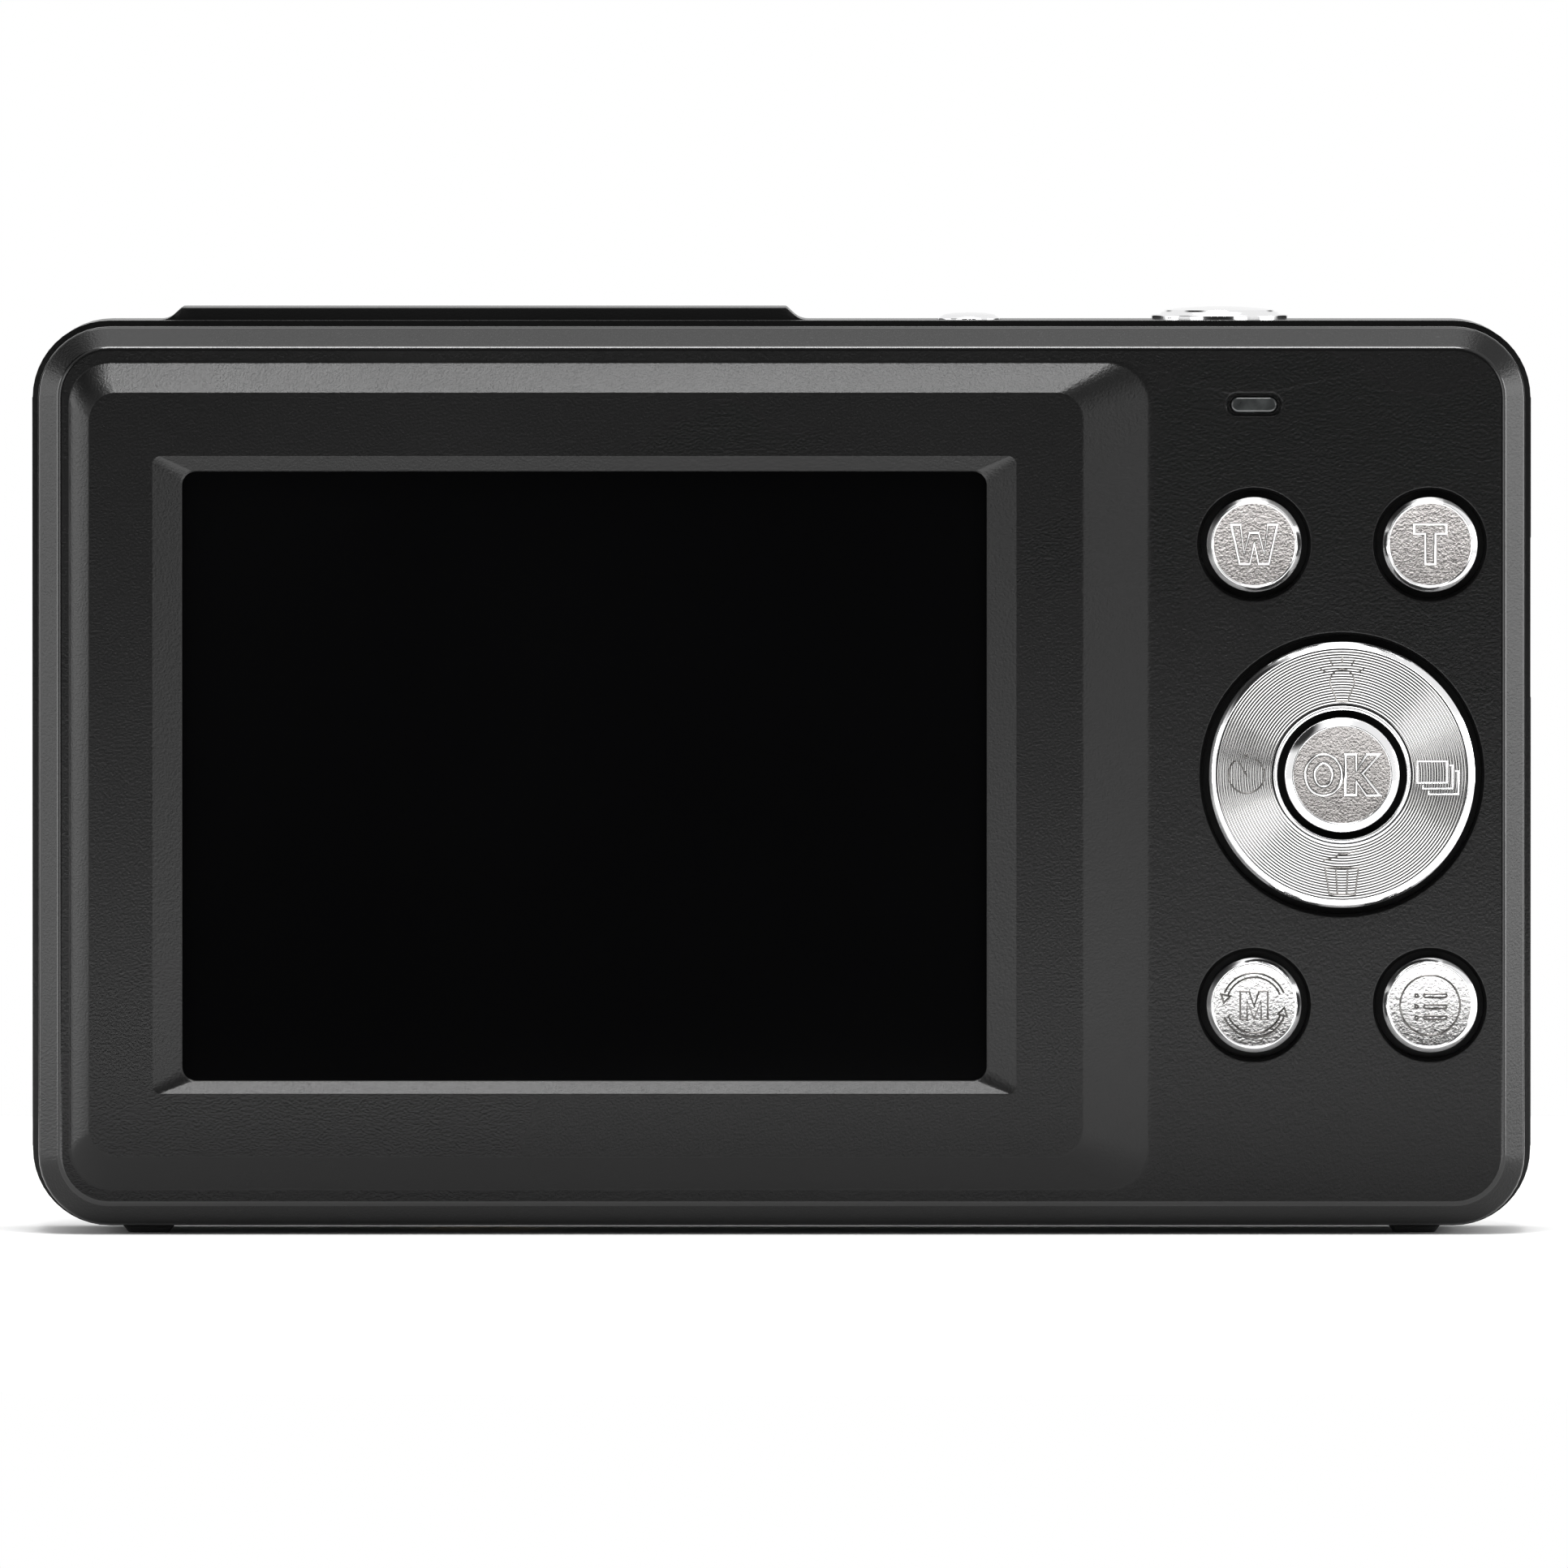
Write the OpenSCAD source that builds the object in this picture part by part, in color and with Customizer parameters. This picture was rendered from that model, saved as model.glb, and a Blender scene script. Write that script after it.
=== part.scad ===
// Compact digital camera with a fixed-focus lens, a 2.4 inch screen and a battery door underneath.
// +Z is up, the screen faces -Y and the lens faces +Y. The origin is on the floor, under the middle of
// the overall width and depth. All sizes are in millimetres.

/* [Body] */
// Width of the front shell
body_w = 92.5; // [92.5:0.5:115]
// Height of the shells, feet left out
body_h = 55.9; // [55.5:0.1:68]
// Corner radius of the front shell, seen from behind
corner_r = 4.75; // [3:0.05:6]
// Wall of both shells, top, bottom, back and front
wall = 1.6; // [1.4:0.05:1.9]
// Wall at the two ends, which holds the side trims
end_wall = 2.4; // [2.2:0.05:2.9]
// Depth of the rear shell, from the flat of the back to the joint
rear_t = 4.2; // [3.8:0.1:4.6]
// How far the rear shell stands inside the front shell at the ends
rear_inset = 0.4; // [0.2:0.05:0.6]
// The same at the top
rear_inset_top = 0.35; // [0.2:0.05:0.6]
// The same at the bottom
rear_inset_bottom = 0.15; // [0.1:0.05:0.6]
// Bevel round the back
back_bevel = 1.3; // [0.8:0.1:1.6]
// Bevel round the front
front_bevel = 1.5; // [0.8:0.1:1.8]

/* [Screen] */
// Width of the screen window's opening
window_w = 49.6; // [44:0.1:52]
// Height of the opening
window_h = 37.55; // [33:0.05:38.5]
// Corner radius of the opening
window_r = 0.85; // [0.4:0.05:2]
// Height of the raised surround above the flat of the back
bezel_h = 1.2; // [0.8:0.1:1.8]
// Depth of the sloped recess, from the surround's face
recess_d = 0.5; // [0.4:0.1:1]
// Straight lip below the slope, down to the window's face
recess_lip = 0.8; // [0.5:0.05:0.9]
// Thickness of the window
window_t = 0.8; // [0.6:0.1:1.2]
// Thickness of the display's metal tray
tray_t = 2.3; // [2:0.1:2.8]

/* [Keys] */
// Diameter of the four small keys
key_d = 5.85; // [5:0.05:7]
// Gap between a key and its hole, on each side
key_gap = 0.4; // [0.2:0.05:0.5]
// How far a small key stands out of the back
key_proud = 0.9; // [0.6:0.05:1.2]
// Distance between the two columns of small keys
key_pitch_x = 10.85; // [10:0.05:14]
// Distance between the two rows of small keys
key_pitch_z = 28.4; // [27:0.1:32]
// Outer diameter of the four-way pad
pad_d = 16.4; // [14:0.1:16.6]
// Diameter of the hole in the pad
pad_hole_d = 7.95; // [7.5:0.05:8.5]
// Diameter of the key in the middle of the pad
ok_d = 7.1; // [6:0.05:7.4]
// Travel of the keys on the back
key_travel = 0.3; // [0.2:0.05:0.35]

/* [Top] */
// Diameter of the shutter button
shutter_d = 7.65; // [6.5:0.05:9.2]
// Width of the fixed ring round it, with its gap
shutter_ring_w = 0.425; // [0.35:0.025:1]
// Travel of the shutter button
shutter_travel = 0.7; // [0.4:0.05:0.8]
// Diameter of the power button
power_d = 3.8; // [3.2:0.1:5]
// Travel of the power button
power_travel = 0.35; // [0.2:0.05:0.4]

/* [Lens] */
// Diameter of the lens window
lens_window_d = 25.6; // [22:0.1:31]
// Width of the lens ring round the window
lens_ring_w = 4.2; // [3.4:0.1:5]
// How far the lens ring stands out of the lens panel
lens_ring_h = 3.6; // [3:0.1:6]
// Thickness of the raised lens panel
panel_t = 1.6; // [1.2:0.1:2.2]
// How far the lens panel reaches past the ring, to the foot of its slopes
panel_margin = 3; // [2:0.1:4]
// Height of the lens panel's end above the top of the body
hump_h = 0.78; // [0.4:0.02:1.2]

/* [Battery] */
// Width of the battery
battery_w = 31.5; // [28:0.5:31.5]
// Height of the battery
battery_h = 40; // [34:0.5:40.5]
// Thickness of the battery
battery_t = 5.6; // [4.5:0.1:7]
// Gap between the battery and the inside of the front
battery_front_gap = 0.6; // [0.4:0.05:1]
// Thickness of the battery door
door_t = 1.2; // [1:0.05:1.4]
// Diameter of the door's hinge pin
hinge_d = 1; // [0.8:0.05:1.1]

/* [Bottom] */
// Height of the feet
foot_h = 0.45; // [0.3:0.05:1]
// Width of a foot at its top
foot_w = 3.2; // [2.4:0.1:3.2]
// Bore of the tripod bush
tripod_bore_d = 5.1; // [5:0.05:5.3]

/* [Hidden] */
$fn = 64;
eps = 0.01;
// Clearance between parts that are pressed or glued together
glue_gap = 0.05;
// Running clearance round pins and sliding parts, on the radius
run_gap = 0.05;
// Gap round a cover that lifts out
cover_gap = 0.12;

// What is stacked between the two shells: display, chassis, board, memory card and battery
chassis_t = 1;
board_t = 1;
socket_t = 2.9;
bay_wall = 0.8;
bay_gap = 0.1;
stack_t = tray_t + chassis_t + board_t + socket_t + bay_wall + 2 * bay_gap + battery_t;

// Depth of the body and of the whole camera, and the planes that it is stacked on
body_t = wall + stack_t + battery_front_gap + wall;
total_t = bezel_h + body_t + panel_t + lens_ring_h;
bezel_y = -total_t / 2;
flat_y = bezel_y + bezel_h;
rear_in_y = flat_y + wall;
split_y = flat_y + rear_t;
front_y = flat_y + body_t;
front_in_y = front_y - wall;
panel_y = front_y + panel_t;
window_y = bezel_y + recess_d + recess_lip;
gasket_y = window_y + window_t;
tray_y = rear_in_y;
chassis_y = tray_y + tray_t;
board_y = chassis_y + chassis_t;
board_front_y = board_y + board_t;

// Outline of the body
half_w = body_w / 2;
bottom_z = foot_h;
top_z = foot_h + body_h;
mid_z = (bottom_z + top_z) / 2;
end_in_x = half_w - end_wall;
bottom_in_z = bottom_z + wall;
top_in_z = top_z - wall;
rear_x = half_w - rear_inset;
rear_z0 = bottom_z + rear_inset_bottom;
rear_z1 = top_z - rear_inset_top;
rear_r = corner_r - rear_inset;

// The screen keeps its distance from the left end, and the keys from the right end
screen_x = -half_w + 34.1;
screen_z = mid_z - 0.075;
bezel_left = -half_w + 2.3;
bezel_right = bezel_left + 66.75;
bezel_low = bottom_z + 2.35;
bezel_high = top_z - 2.5;
bezel_r = 2.5;
bezel_face_r = 1.7;
bezel_slope_left = 1.25;
bezel_slope_right = 4.25;
bezel_slope_top = 1.9;
bezel_slope_bottom = 2;
recess_slope_x = 1.83;
recess_slope_top = 0.95;
recess_slope_bottom = 0.8;
recess_r = 0.5;
pad_x = half_w - 11.7;
pad_z = mid_z;
key_x0 = pad_x - key_pitch_x / 2;
key_x1 = pad_x + key_pitch_x / 2;
key_z0 = pad_z - key_pitch_z / 2;
key_z1 = pad_z + key_pitch_z / 2;
light_x = key_x0;
light_z = top_z - 5.15;

// Keys, switches and the rocker under the pad
hole_lip = 0.2;
key_bevel = 0.35;
key_flange_over = 0.75;
key_flange_t = 0.6;
key_stem_d = 2.4;
pad_gap = 0.4;
pad_proud = 0.95;
ok_proud = 1.15;
pad_flange_over = 1.1;
pad_flange_t = 0.6;
pad_tilt_room = 0.4;
rock_r = 6.7;
switch_w = 4.5;
switch_t = 1.2;
plunger_d = 2.4;
plunger_t = 0.4;
plunger_y = board_y - switch_t - plunger_t;
press_gap = 0.1;
stem_y = plunger_y - key_travel - press_gap;
pad_under_y = rear_in_y + pad_tilt_room + pad_flange_t;
pad_pocket_r = pad_hole_d / 2 + 0.95;
pad_pocket_y = rear_in_y + 0.1;
ok_flange_r = pad_pocket_r - 0.35;
ok_flange_y = pad_pocket_y + 0.25;
ok_flange_t = 0.45;
rocker_r = 5.3;
rocker_hole_r = 2.2;
rocker_t = 0.5;
rocker_y = ok_flange_y + ok_flange_t + key_travel + 0.15;
rocker_edge_r = 0.25;
rock_gap = 0.02;

// Top controls
shutter_x = half_w - 19.15;
shutter_ring_d = shutter_d + 2 * shutter_ring_w;
power_x = shutter_x - 15.5;
shutter_y = 0;
shutter_ledge = 0.3;
shutter_proud = 0.8;
shutter_flange_d = shutter_d + 1.55;
power_proud = 0.42;
power_flange_d = power_d + 1.6;
top_gap = 0.1;
cap_flange_t = 0.6;
shutter_ring_flange_t = 0.55;
top_board_z = top_z - 6.95;
top_board_t = 0.8;
top_switch_w = 4.6;
top_switch_t = 0.7;
top_plunger_t = 0.25;
top_press_z = top_board_z + top_board_t + top_switch_t + top_plunger_t;
spring_wire = 0.4;
spring_d = shutter_d - 0.25;

// Lens unit
lens_x = -half_w + 27.85;
lens_z = mid_z;
lens_ring_d = lens_window_d + 2 * lens_ring_w;
panel_w = lens_ring_d + 2 * panel_margin;
panel_x0 = lens_x - panel_w / 2;
panel_x1 = lens_x + panel_w / 2;
panel_slope = 1.3;
hump_back = 2.6;
spigot_r = lens_window_d / 2 + 0.2;
ring_bore_r = lens_window_d / 2 - 1.2;
window_ledge_y = panel_y + lens_ring_h - 1.8;
lens_window_t = 0.8;
hood_r = ring_bore_r - run_gap;
hood_mouth_r = hood_r - 0.6;
hood_throat_r = 5.3;
hood_back_y = window_ledge_y - 3.5;
barrel_r = 6.5;
barrel_front_y = window_ledge_y - 2.6;
holder_w = 17;
sensor_board_w = 18;
sensor_board_t = 0.8;
sensor_board_y = board_front_y + 1.5;
holder_y = sensor_board_y + sensor_board_t;
holder_t = 4;
holder_hole = 10;
front_lens_r = 5;
rear_lens_r = 4;
sensor_w = 9;
sensor_t = 1.1;
filter_w = 7.2;
filter_t = 0.3;

// Side trims, speaker, strap pin and USB socket
trim_t = 1.1;
trim_proud = 0.05;
trim_z0 = bottom_z + 4.85;
trim_z1 = top_z - 4.7;
trim_y0 = split_y + 1;
trim_y1 = front_y - 2.2;
trim_edge = 0.3;
trim_x = half_w + trim_proud;
speaker_r = 4.7;
speaker_t = 2.6;
speaker_y = board_front_y + speaker_r + 0.3;
grille_hole_r = 0.45;
strap_z0 = bottom_z + 8.55;
strap_len = 6.5;
strap_y0 = -1.2;
strap_w = 4.6;
strap_depth = 4.35;
strap_wall = 0.8;
strap_pin_d = 1.4;
strap_pin_x = half_w - 1.85;
usb_z = mid_z + 9.6;
usb_w = 9;
usb_t = 3.2;
usb_depth = 7;

// Battery bay, card, door and latch
card_w = 24;
card_t = 2.1;
card_h = 32;
socket_w = 28;
bay_y = board_front_y + socket_t + bay_gap;
battery_x0 = half_w - 43.75;
battery_y0 = bay_y + bay_wall + bay_gap;
battery_z0 = bottom_z + 2.95;
battery_z1 = battery_z0 + battery_h;
contact_room = 1;
bay_x0 = battery_x0 - bay_wall - 0.3;
bay_x1 = battery_x0 + battery_w + bay_wall + 0.3;
bay_z0 = bottom_z + 2.6;
bay_z1 = battery_z1 + contact_room + bay_wall;
door_x0 = bay_x0 - 0.9;
hinge_r = 0.9;
hinge_z = bottom_z + hinge_r;
hinge_x = bay_x1 + 0.75;
door_x1 = hinge_x + hinge_r;
door_y0 = split_y + 1.4;
door_y1 = front_y - front_bevel - 0.5;
latch_travel = 1.2;
latch_w = 5;
latch_len = 4.4;
latch_t = 0.8;
latch_floor = 0.55;
latch_block_len = 6.2;
latch_block_z = bottom_z + 2.05;
latch_gap = 0.05;
latch_y = (door_y0 + door_y1) / 2;
latch_x0 = door_x0 + 0.15;

// Feet, tripod bush and screws
foot_x = half_w - 7.15;
foot_len = 2.6;
foot_taper = 0.35;
bush_x = lens_x;
bush_r = 4;
bush_flange_r = 4.7;
bush_y = front_in_y - bush_flange_r - 0.1;
bush_h = 7.5;
bush_bore_h = 6.05;
screw_r = 0.6;
screw_head_r = 1.3;
screw_head_t = 0.6;
screw_len = 3.5;
screw_gap = 0.15;
boss_r = 1.6;
boss_points = [
    [-half_w + 10.25, bottom_z + 4.15],
    [-half_w + 10.25, top_z - 4.15],
    [key_x0 - 8.6, top_z - 4.15],
    [half_w - 8.25, bottom_z + 4.75]
];
end_screw_y = split_y + 3;
end_screw_head_r = 1.5;
end_screw_head_t = 0.9;
end_screw_len = 5;
end_block = 5;
end_block_depth = 3.25;
end_block_y1 = end_screw_y + 1.6;
left_block_z = [bottom_z + 10.05, top_z - 7.35];
right_block_z = [key_z0 + 5.8, top_z - 7.35];

// ---------- shapes that repeat ----------

// A box between two corners
module block(a, b) {
    translate(a) cube([b[0] - a[0], b[1] - a[1], b[2] - a[2]]);
}

// A cylinder along Y, from y0 to y1
module rod_y(x, z, r, y0, y1) {
    translate([x, y1, z]) rotate([90, 0, 0]) cylinder(h = y1 - y0, r = r);
}

// A cylinder along Z, from z0 to z1
module rod_z(x, y, r, z0, z1) {
    translate([x, y, z0]) cylinder(h = z1 - z0, r = r);
}

// A cylinder along X, from x0 to x1
module rod_x(y, z, r, x0, x1) {
    translate([x0, y, z]) rotate([0, 90, 0]) cylinder(h = x1 - x0, r = r);
}

// A rectangle with round corners, between two corners of the XZ plane
module round_rect(x0, x1, z0, z1, r) {
    translate([x0 + r, z0]) square([x1 - x0 - 2 * r, z1 - z0]);
    translate([x0, z0 + r]) square([x1 - x0, z1 - z0 - 2 * r]);
    for (x = [x0 + r, x1 - r], z = [z0 + r, z1 - r]) translate([x, z]) circle(r = r);
}

// That rectangle made solid along Y, from y0 to y1
module slab(x0, x1, z0, z1, r, y0, y1) {
    translate([0, y1, 0]) rotate([90, 0, 0]) linear_extrude(y1 - y0) round_rect(x0, x1, z0, z1, r);
}

// A slab whose outline draws in by c as it goes from y = 0 to y = h, with conical corners
module bevel_slab(x0, x1, z0, z1, r, c, h) {
    x_side = [[x0, 0], [x1, 0], [x1 - c, h], [x0 + c, h]];
    z_side = [[0, z0], [0, z1], [h, z1 - c], [h, z0 + c]];
    translate([0, 0, z0 + r]) linear_extrude(z1 - z0 - 2 * r) polygon(x_side);
    translate([x0 + r, 0, 0]) rotate([90, 0, 90]) linear_extrude(x1 - x0 - 2 * r) polygon(z_side);
    for (x = [x0 + r, x1 - r], z = [z0 + r, z1 - r])
        translate([x, 0, z]) rotate([-90, 0, 0]) cylinder(h = h, r1 = r, r2 = r - c);
}

// A turned part whose axis is along Y through x, z; the outline is a list of [radius, y]
module turned_y(x, z, outline) {
    translate([x, 0, z]) rotate([-90, 0, 0]) rotate_extrude() polygon(outline);
}

// A turned part whose axis is along Z through x, y; the outline is a list of [radius, z]
module turned_z(x, y, outline) {
    translate([x, y, 0]) rotate_extrude() polygon(outline);
}

// A slot with round ends along X, made solid along Y
module stadium(x, z, length, width, y0, y1) {
    slab(x - length / 2, x + length / 2, z - width / 2, z + width / 2, width / 2 - eps, y0, y1);
}

// ---------- shells ----------

// Outside of the rear shell without its raised surround
module rear_body() {
    translate([0, flat_y + back_bevel, 0]) mirror([0, 1, 0])
        bevel_slab(-rear_x, rear_x, rear_z0, rear_z1, rear_r, back_bevel, back_bevel);
    slab(-rear_x, rear_x, rear_z0, rear_z1, rear_r, flat_y + back_bevel, split_y);
}

// Raised screen surround, whose four slopes differ in width
module screen_surround() {
    hull() {
        slab(bezel_left, bezel_right, bezel_low, bezel_high, bezel_r, flat_y, flat_y + eps, $fn = 32);
        slab(bezel_left + bezel_slope_left, bezel_right - bezel_slope_right,
            bezel_low + bezel_slope_bottom, bezel_high - bezel_slope_top, bezel_face_r,
            bezel_y, bezel_y + eps, $fn = 32);
    }
}

// Sloped recess that leads down to the window
module screen_recess() {
    x0 = screen_x - window_w / 2;
    x1 = screen_x + window_w / 2;
    z0 = screen_z - window_h / 2;
    z1 = screen_z + window_h / 2;
    hull() {
        slab(x0 - recess_slope_x, x1 + recess_slope_x, z0 - recess_slope_bottom,
            z1 + recess_slope_top, recess_r, bezel_y - eps, bezel_y, $fn = 32);
        slab(x0, x1, z0, z1, window_r, bezel_y + recess_d - eps, bezel_y + recess_d, $fn = 32);
    }
    slab(x0, x1, z0, z1, window_r, bezel_y + recess_d - eps, window_y + eps);
}

window_rim = 1.7;
module window_outline(gap, y0, y1) {
    slab(screen_x - window_w / 2 - window_rim - gap, screen_x + window_w / 2 + window_rim + gap,
        screen_z - window_h / 2 - window_rim - gap, screen_z + window_h / 2 + window_rim + gap,
        window_r, y0, y1);
}

// A hole through the back with a small lip at its mouth
module back_hole(x, z, r) {
    rod_y(x, z, r, flat_y - eps, rear_in_y + eps);
    translate([x, flat_y - eps, z]) rotate([-90, 0, 0]) cylinder(h = hole_lip, r1 = r + hole_lip, r2 = r);
}

light_len = 3.4;
light_h = 1.4;
pipe_len = 2.85;
pipe_h = 0.95;
pipe_sink = 0.35;
module rear_shell() color([0.17, 0.17, 0.175]) {
    lip_t = 0.65;
    lip_d = 0.7;
    in_x = rear_x - wall;
    difference() {
        union() {
            difference() {
                rear_body();
                slab(-in_x, in_x, rear_z0 + wall, rear_z1 - wall, rear_r - wall, rear_in_y, split_y + eps);
            }
            screen_surround();
            for (p = boss_points) rod_y(p[0], p[1], boss_r, rear_in_y - eps, chassis_y);
            // Lip that locates the front shell, left out along the bottom
            difference() {
                slab(-in_x - lip_t, in_x + lip_t, rear_z0 + wall - lip_t, rear_z1 - wall + lip_t,
                    rear_r - wall + lip_t, split_y - eps, split_y + lip_d);
                slab(-in_x, in_x, rear_z0 + wall, rear_z1 - wall, rear_r - wall, split_y - 2 * eps,
                    split_y + lip_d + eps);
                block([-half_w, split_y - 1, 0], [half_w, split_y + 2, bottom_z + 2 * corner_r]);
            }
        }
        screen_recess();
        window_outline(glue_gap, window_y, rear_in_y + eps);
        for (x = [key_x0, key_x1], z = [key_z0, key_z1]) back_hole(x, z, key_d / 2 + key_gap);
        back_hole(pad_x, pad_z, pad_d / 2 + pad_gap);
        stadium(light_x, light_z, light_len, light_h, flat_y - eps, flat_y + pipe_sink);
        stadium(light_x, light_z, pipe_len + 2 * glue_gap, pipe_h + 2 * glue_gap, flat_y, rear_in_y + eps);
        for (p = boss_points)
            rod_y(p[0], p[1], screw_r + run_gap, chassis_y - screw_len + 1, chassis_y + eps);
    }
}

// Outside of the front shell, flat-sided where the lens panel crosses its front bevel
module front_body() {
    slab(-half_w, half_w, bottom_z, top_z, corner_r, split_y, front_y - front_bevel);
    translate([0, front_y - front_bevel, 0])
        bevel_slab(-half_w, half_w, bottom_z, top_z, corner_r, front_bevel, front_bevel);
}

module trim_outline(gap, x0, x1) {
    block([x0, trim_y0 - gap, trim_z0 - gap], [x1, trim_y1 + gap, trim_z1 + gap]);
}

mic_x = panel_x1 + 3.4;
fill_x = mic_x + 9;
fill_z = top_z - 7.75;
fill_w = 9;
fill_h = 4.6;
mic_z = top_z - 6.85;
mic_hole_r = 0.5;
usb_gap = 0.3;
module front_shell() color([0.1, 0.1, 0.105]) {
    lip_t = 0.7;
    lip_d = 0.75;
    rear_in_x = rear_x - wall;
    door_side = cover_gap;
    difference() {
        union() {
            difference() {
                front_body();
                slab(-end_in_x, end_in_x, bottom_in_z, top_in_z, corner_r - wall, split_y - eps, front_in_y);
            }
            // Box round the strap pin
            block([half_w - strap_depth - strap_wall, strap_y0 - strap_wall, strap_z0 - strap_wall],
                [end_in_x + eps, strap_y0 + strap_w + strap_wall, strap_z0 + strap_len + strap_wall]);
        }
        // Rebate for the rear shell's lip
        difference() {
            slab(-rear_in_x - lip_t, rear_in_x + lip_t, rear_z0 + wall - lip_t, rear_z1 - wall + lip_t,
                rear_r - wall + lip_t, split_y - eps, split_y + lip_d);
            block([-half_w, split_y - 1, 0], [half_w, split_y + 2, bottom_z + 2 * corner_r - eps]);
        }
        // Recesses for the side trims
        trim_outline(glue_gap, half_w + trim_proud - trim_t, half_w + 1);
        trim_outline(glue_gap, -half_w - 1, -half_w - trim_proud + trim_t);
        // Battery door's opening, hinge pin holes and the catch for the latch
        block([door_x0 - door_side, door_y0 - door_side, 0],
            [door_x1 + door_side, door_y1 + door_side, bottom_in_z + eps]);
        rod_y(hinge_x, hinge_z, hinge_d / 2 + glue_gap, door_y0 - 1, door_y1 + 0.8);
        block([door_x0 - latch_travel - 0.2, latch_y - latch_w / 2 - 0.2, bottom_z + latch_floor - 0.1],
            [door_x0, latch_y + latch_w / 2 + 0.2, bottom_in_z + eps]);
        // Top controls
        rod_z(shutter_x, shutter_y, shutter_ring_d / 2 + glue_gap, top_in_z - eps, top_z + eps);
        rod_z(power_x, shutter_y, power_d / 2 + 0.15, top_in_z - eps, top_z + eps);
        // Lens, fill light, microphone and speaker
        rod_y(lens_x, lens_z, spigot_r + glue_gap, front_in_y - eps, front_y + eps);
        slab(fill_x - fill_w / 2 - glue_gap, fill_x + fill_w / 2 + glue_gap, fill_z - fill_h / 2 - glue_gap,
            fill_z + fill_h / 2 + glue_gap, 1, front_in_y - eps, front_y + eps);
        rod_y(mic_x, mic_z, mic_hole_r, front_in_y - eps, front_y + eps);
        speaker_holes(-half_w - 1, -end_in_x + eps);
        // Strap pocket, USB opening, bush hole and end screws
        strap_pocket(0);
        rod_z(strap_pin_x, strap_y0 + strap_w / 2, strap_pin_d / 2 + glue_gap, strap_z0 - strap_wall + 0.1,
            strap_z0 + strap_len + strap_wall - 0.1);
        usb_opening(usb_gap, end_in_x - eps);
        rod_z(bush_x, bush_y, bush_r + glue_gap, 0, bottom_in_z + eps);
        for (z = left_block_z) mirror([1, 0, 0]) end_screw_hole(z);
        for (z = right_block_z) end_screw_hole(z);
    }
}

module speaker_holes(x0, x1) {
    for (k = [-2:2]) rod_x(speaker_y, mid_z + k * 1.6, grille_hole_r, x0, x1);
}

module strap_pocket(gap) {
    block([half_w - strap_depth, strap_y0 - gap, strap_z0 - gap],
        [half_w + 1, strap_y0 + strap_w + gap, strap_z0 + strap_len + gap]);
}

module usb_opening(gap, x0) {
    block([x0, board_front_y - gap, usb_z - usb_w / 2 - gap],
        [half_w + 1, board_front_y + usb_t + gap, usb_z + usb_w / 2 + gap]);
}

module end_screw_hole(z) {
    seat_x = half_w + trim_proud - trim_t;
    rod_x(end_screw_y, z, end_screw_head_r + screw_gap, seat_x - end_screw_head_t, seat_x + eps);
    rod_x(end_screw_y, z, screw_r + screw_gap, end_in_x - eps, seat_x);
}

// ---------- side trims and lens panel ----------

// Plate with bevelled edges, for the right end
module trim_plate() {
    x1 = trim_x;
    x0 = x1 - trim_t;
    edge = [[x0, trim_y0], [x1 - trim_edge, trim_y0], [x1, trim_y0 + trim_edge],
        [x1, trim_y1 - trim_edge], [x1 - trim_edge, trim_y1], [x0, trim_y1]];
    translate([0, 0, trim_z0]) linear_extrude(trim_z1 - trim_z0) polygon(edge);
}

module left_side_trim() color([0.12, 0.12, 0.125]) {
    difference() {
        mirror([1, 0, 0]) trim_plate();
        speaker_holes(-half_w - 1, -half_w + trim_t + eps);
    }
}

module right_side_trim() color([0.12, 0.12, 0.125]) {
    difference() {
        trim_plate();
        usb_opening(usb_gap + 0.1, end_in_x);
        strap_pocket(0.1);
    }
}

// Raised panel round the lens, which runs up the front and over the top edge
panel_low = 4.5;
module lens_panel() color([0.09, 0.09, 0.095]) {
    across = [[panel_x0, front_y - 4], [panel_x0, front_y], [panel_x0 + panel_slope, panel_y],
        [panel_x1 - panel_slope, panel_y], [panel_x1, front_y], [panel_x1, front_y - 4]];
    over = [[panel_x0, top_z - 4], [panel_x0, top_z], [panel_x0 + panel_slope, top_z + hump_h],
        [panel_x1 - panel_slope, top_z + hump_h], [panel_x1, top_z], [panel_x1, top_z - 4]];
    hump_y0 = split_y + hump_back;
    difference() {
        intersection() {
            translate([0, 0, bottom_z + panel_low]) linear_extrude(body_h) polygon(across);
            translate([0, panel_y + 1, 0]) rotate([90, 0, 0]) linear_extrude(panel_t + 5) polygon(
                [[panel_x0 - 1, 0], [panel_x0 - 1, top_z + hump_h], [panel_x1 + 1, top_z + hump_h],
                    [panel_x1 + 1, 0]]);
            translate([0, panel_y + 1, 0]) rotate([90, 0, 0]) linear_extrude(panel_t + 5)
                union() {
                    polygon(over);
                    translate([panel_x0, 0]) square([panel_w, top_z]);
                }
        }
        front_body();
        rod_y(lens_x, lens_z, spigot_r + glue_gap, front_y - 1, panel_y + 1);
    }
    difference() {
        translate([0, front_y - 4, 0]) rotate([90, 0, 0]) linear_extrude(front_y - 4 - hump_y0)
            polygon(over);
        front_body();
    }
}

// ---------- screen ----------

module screen_window() color([0.01, 0.01, 0.012]) window_outline(0, window_y, gasket_y);

gasket_w = 1.2;
module screen_gasket() color([0.05, 0.05, 0.05]) {
    difference() {
        window_outline(0, gasket_y, tray_y);
        window_outline(-gasket_w, gasket_y - eps, tray_y + eps);
    }
}

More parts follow.
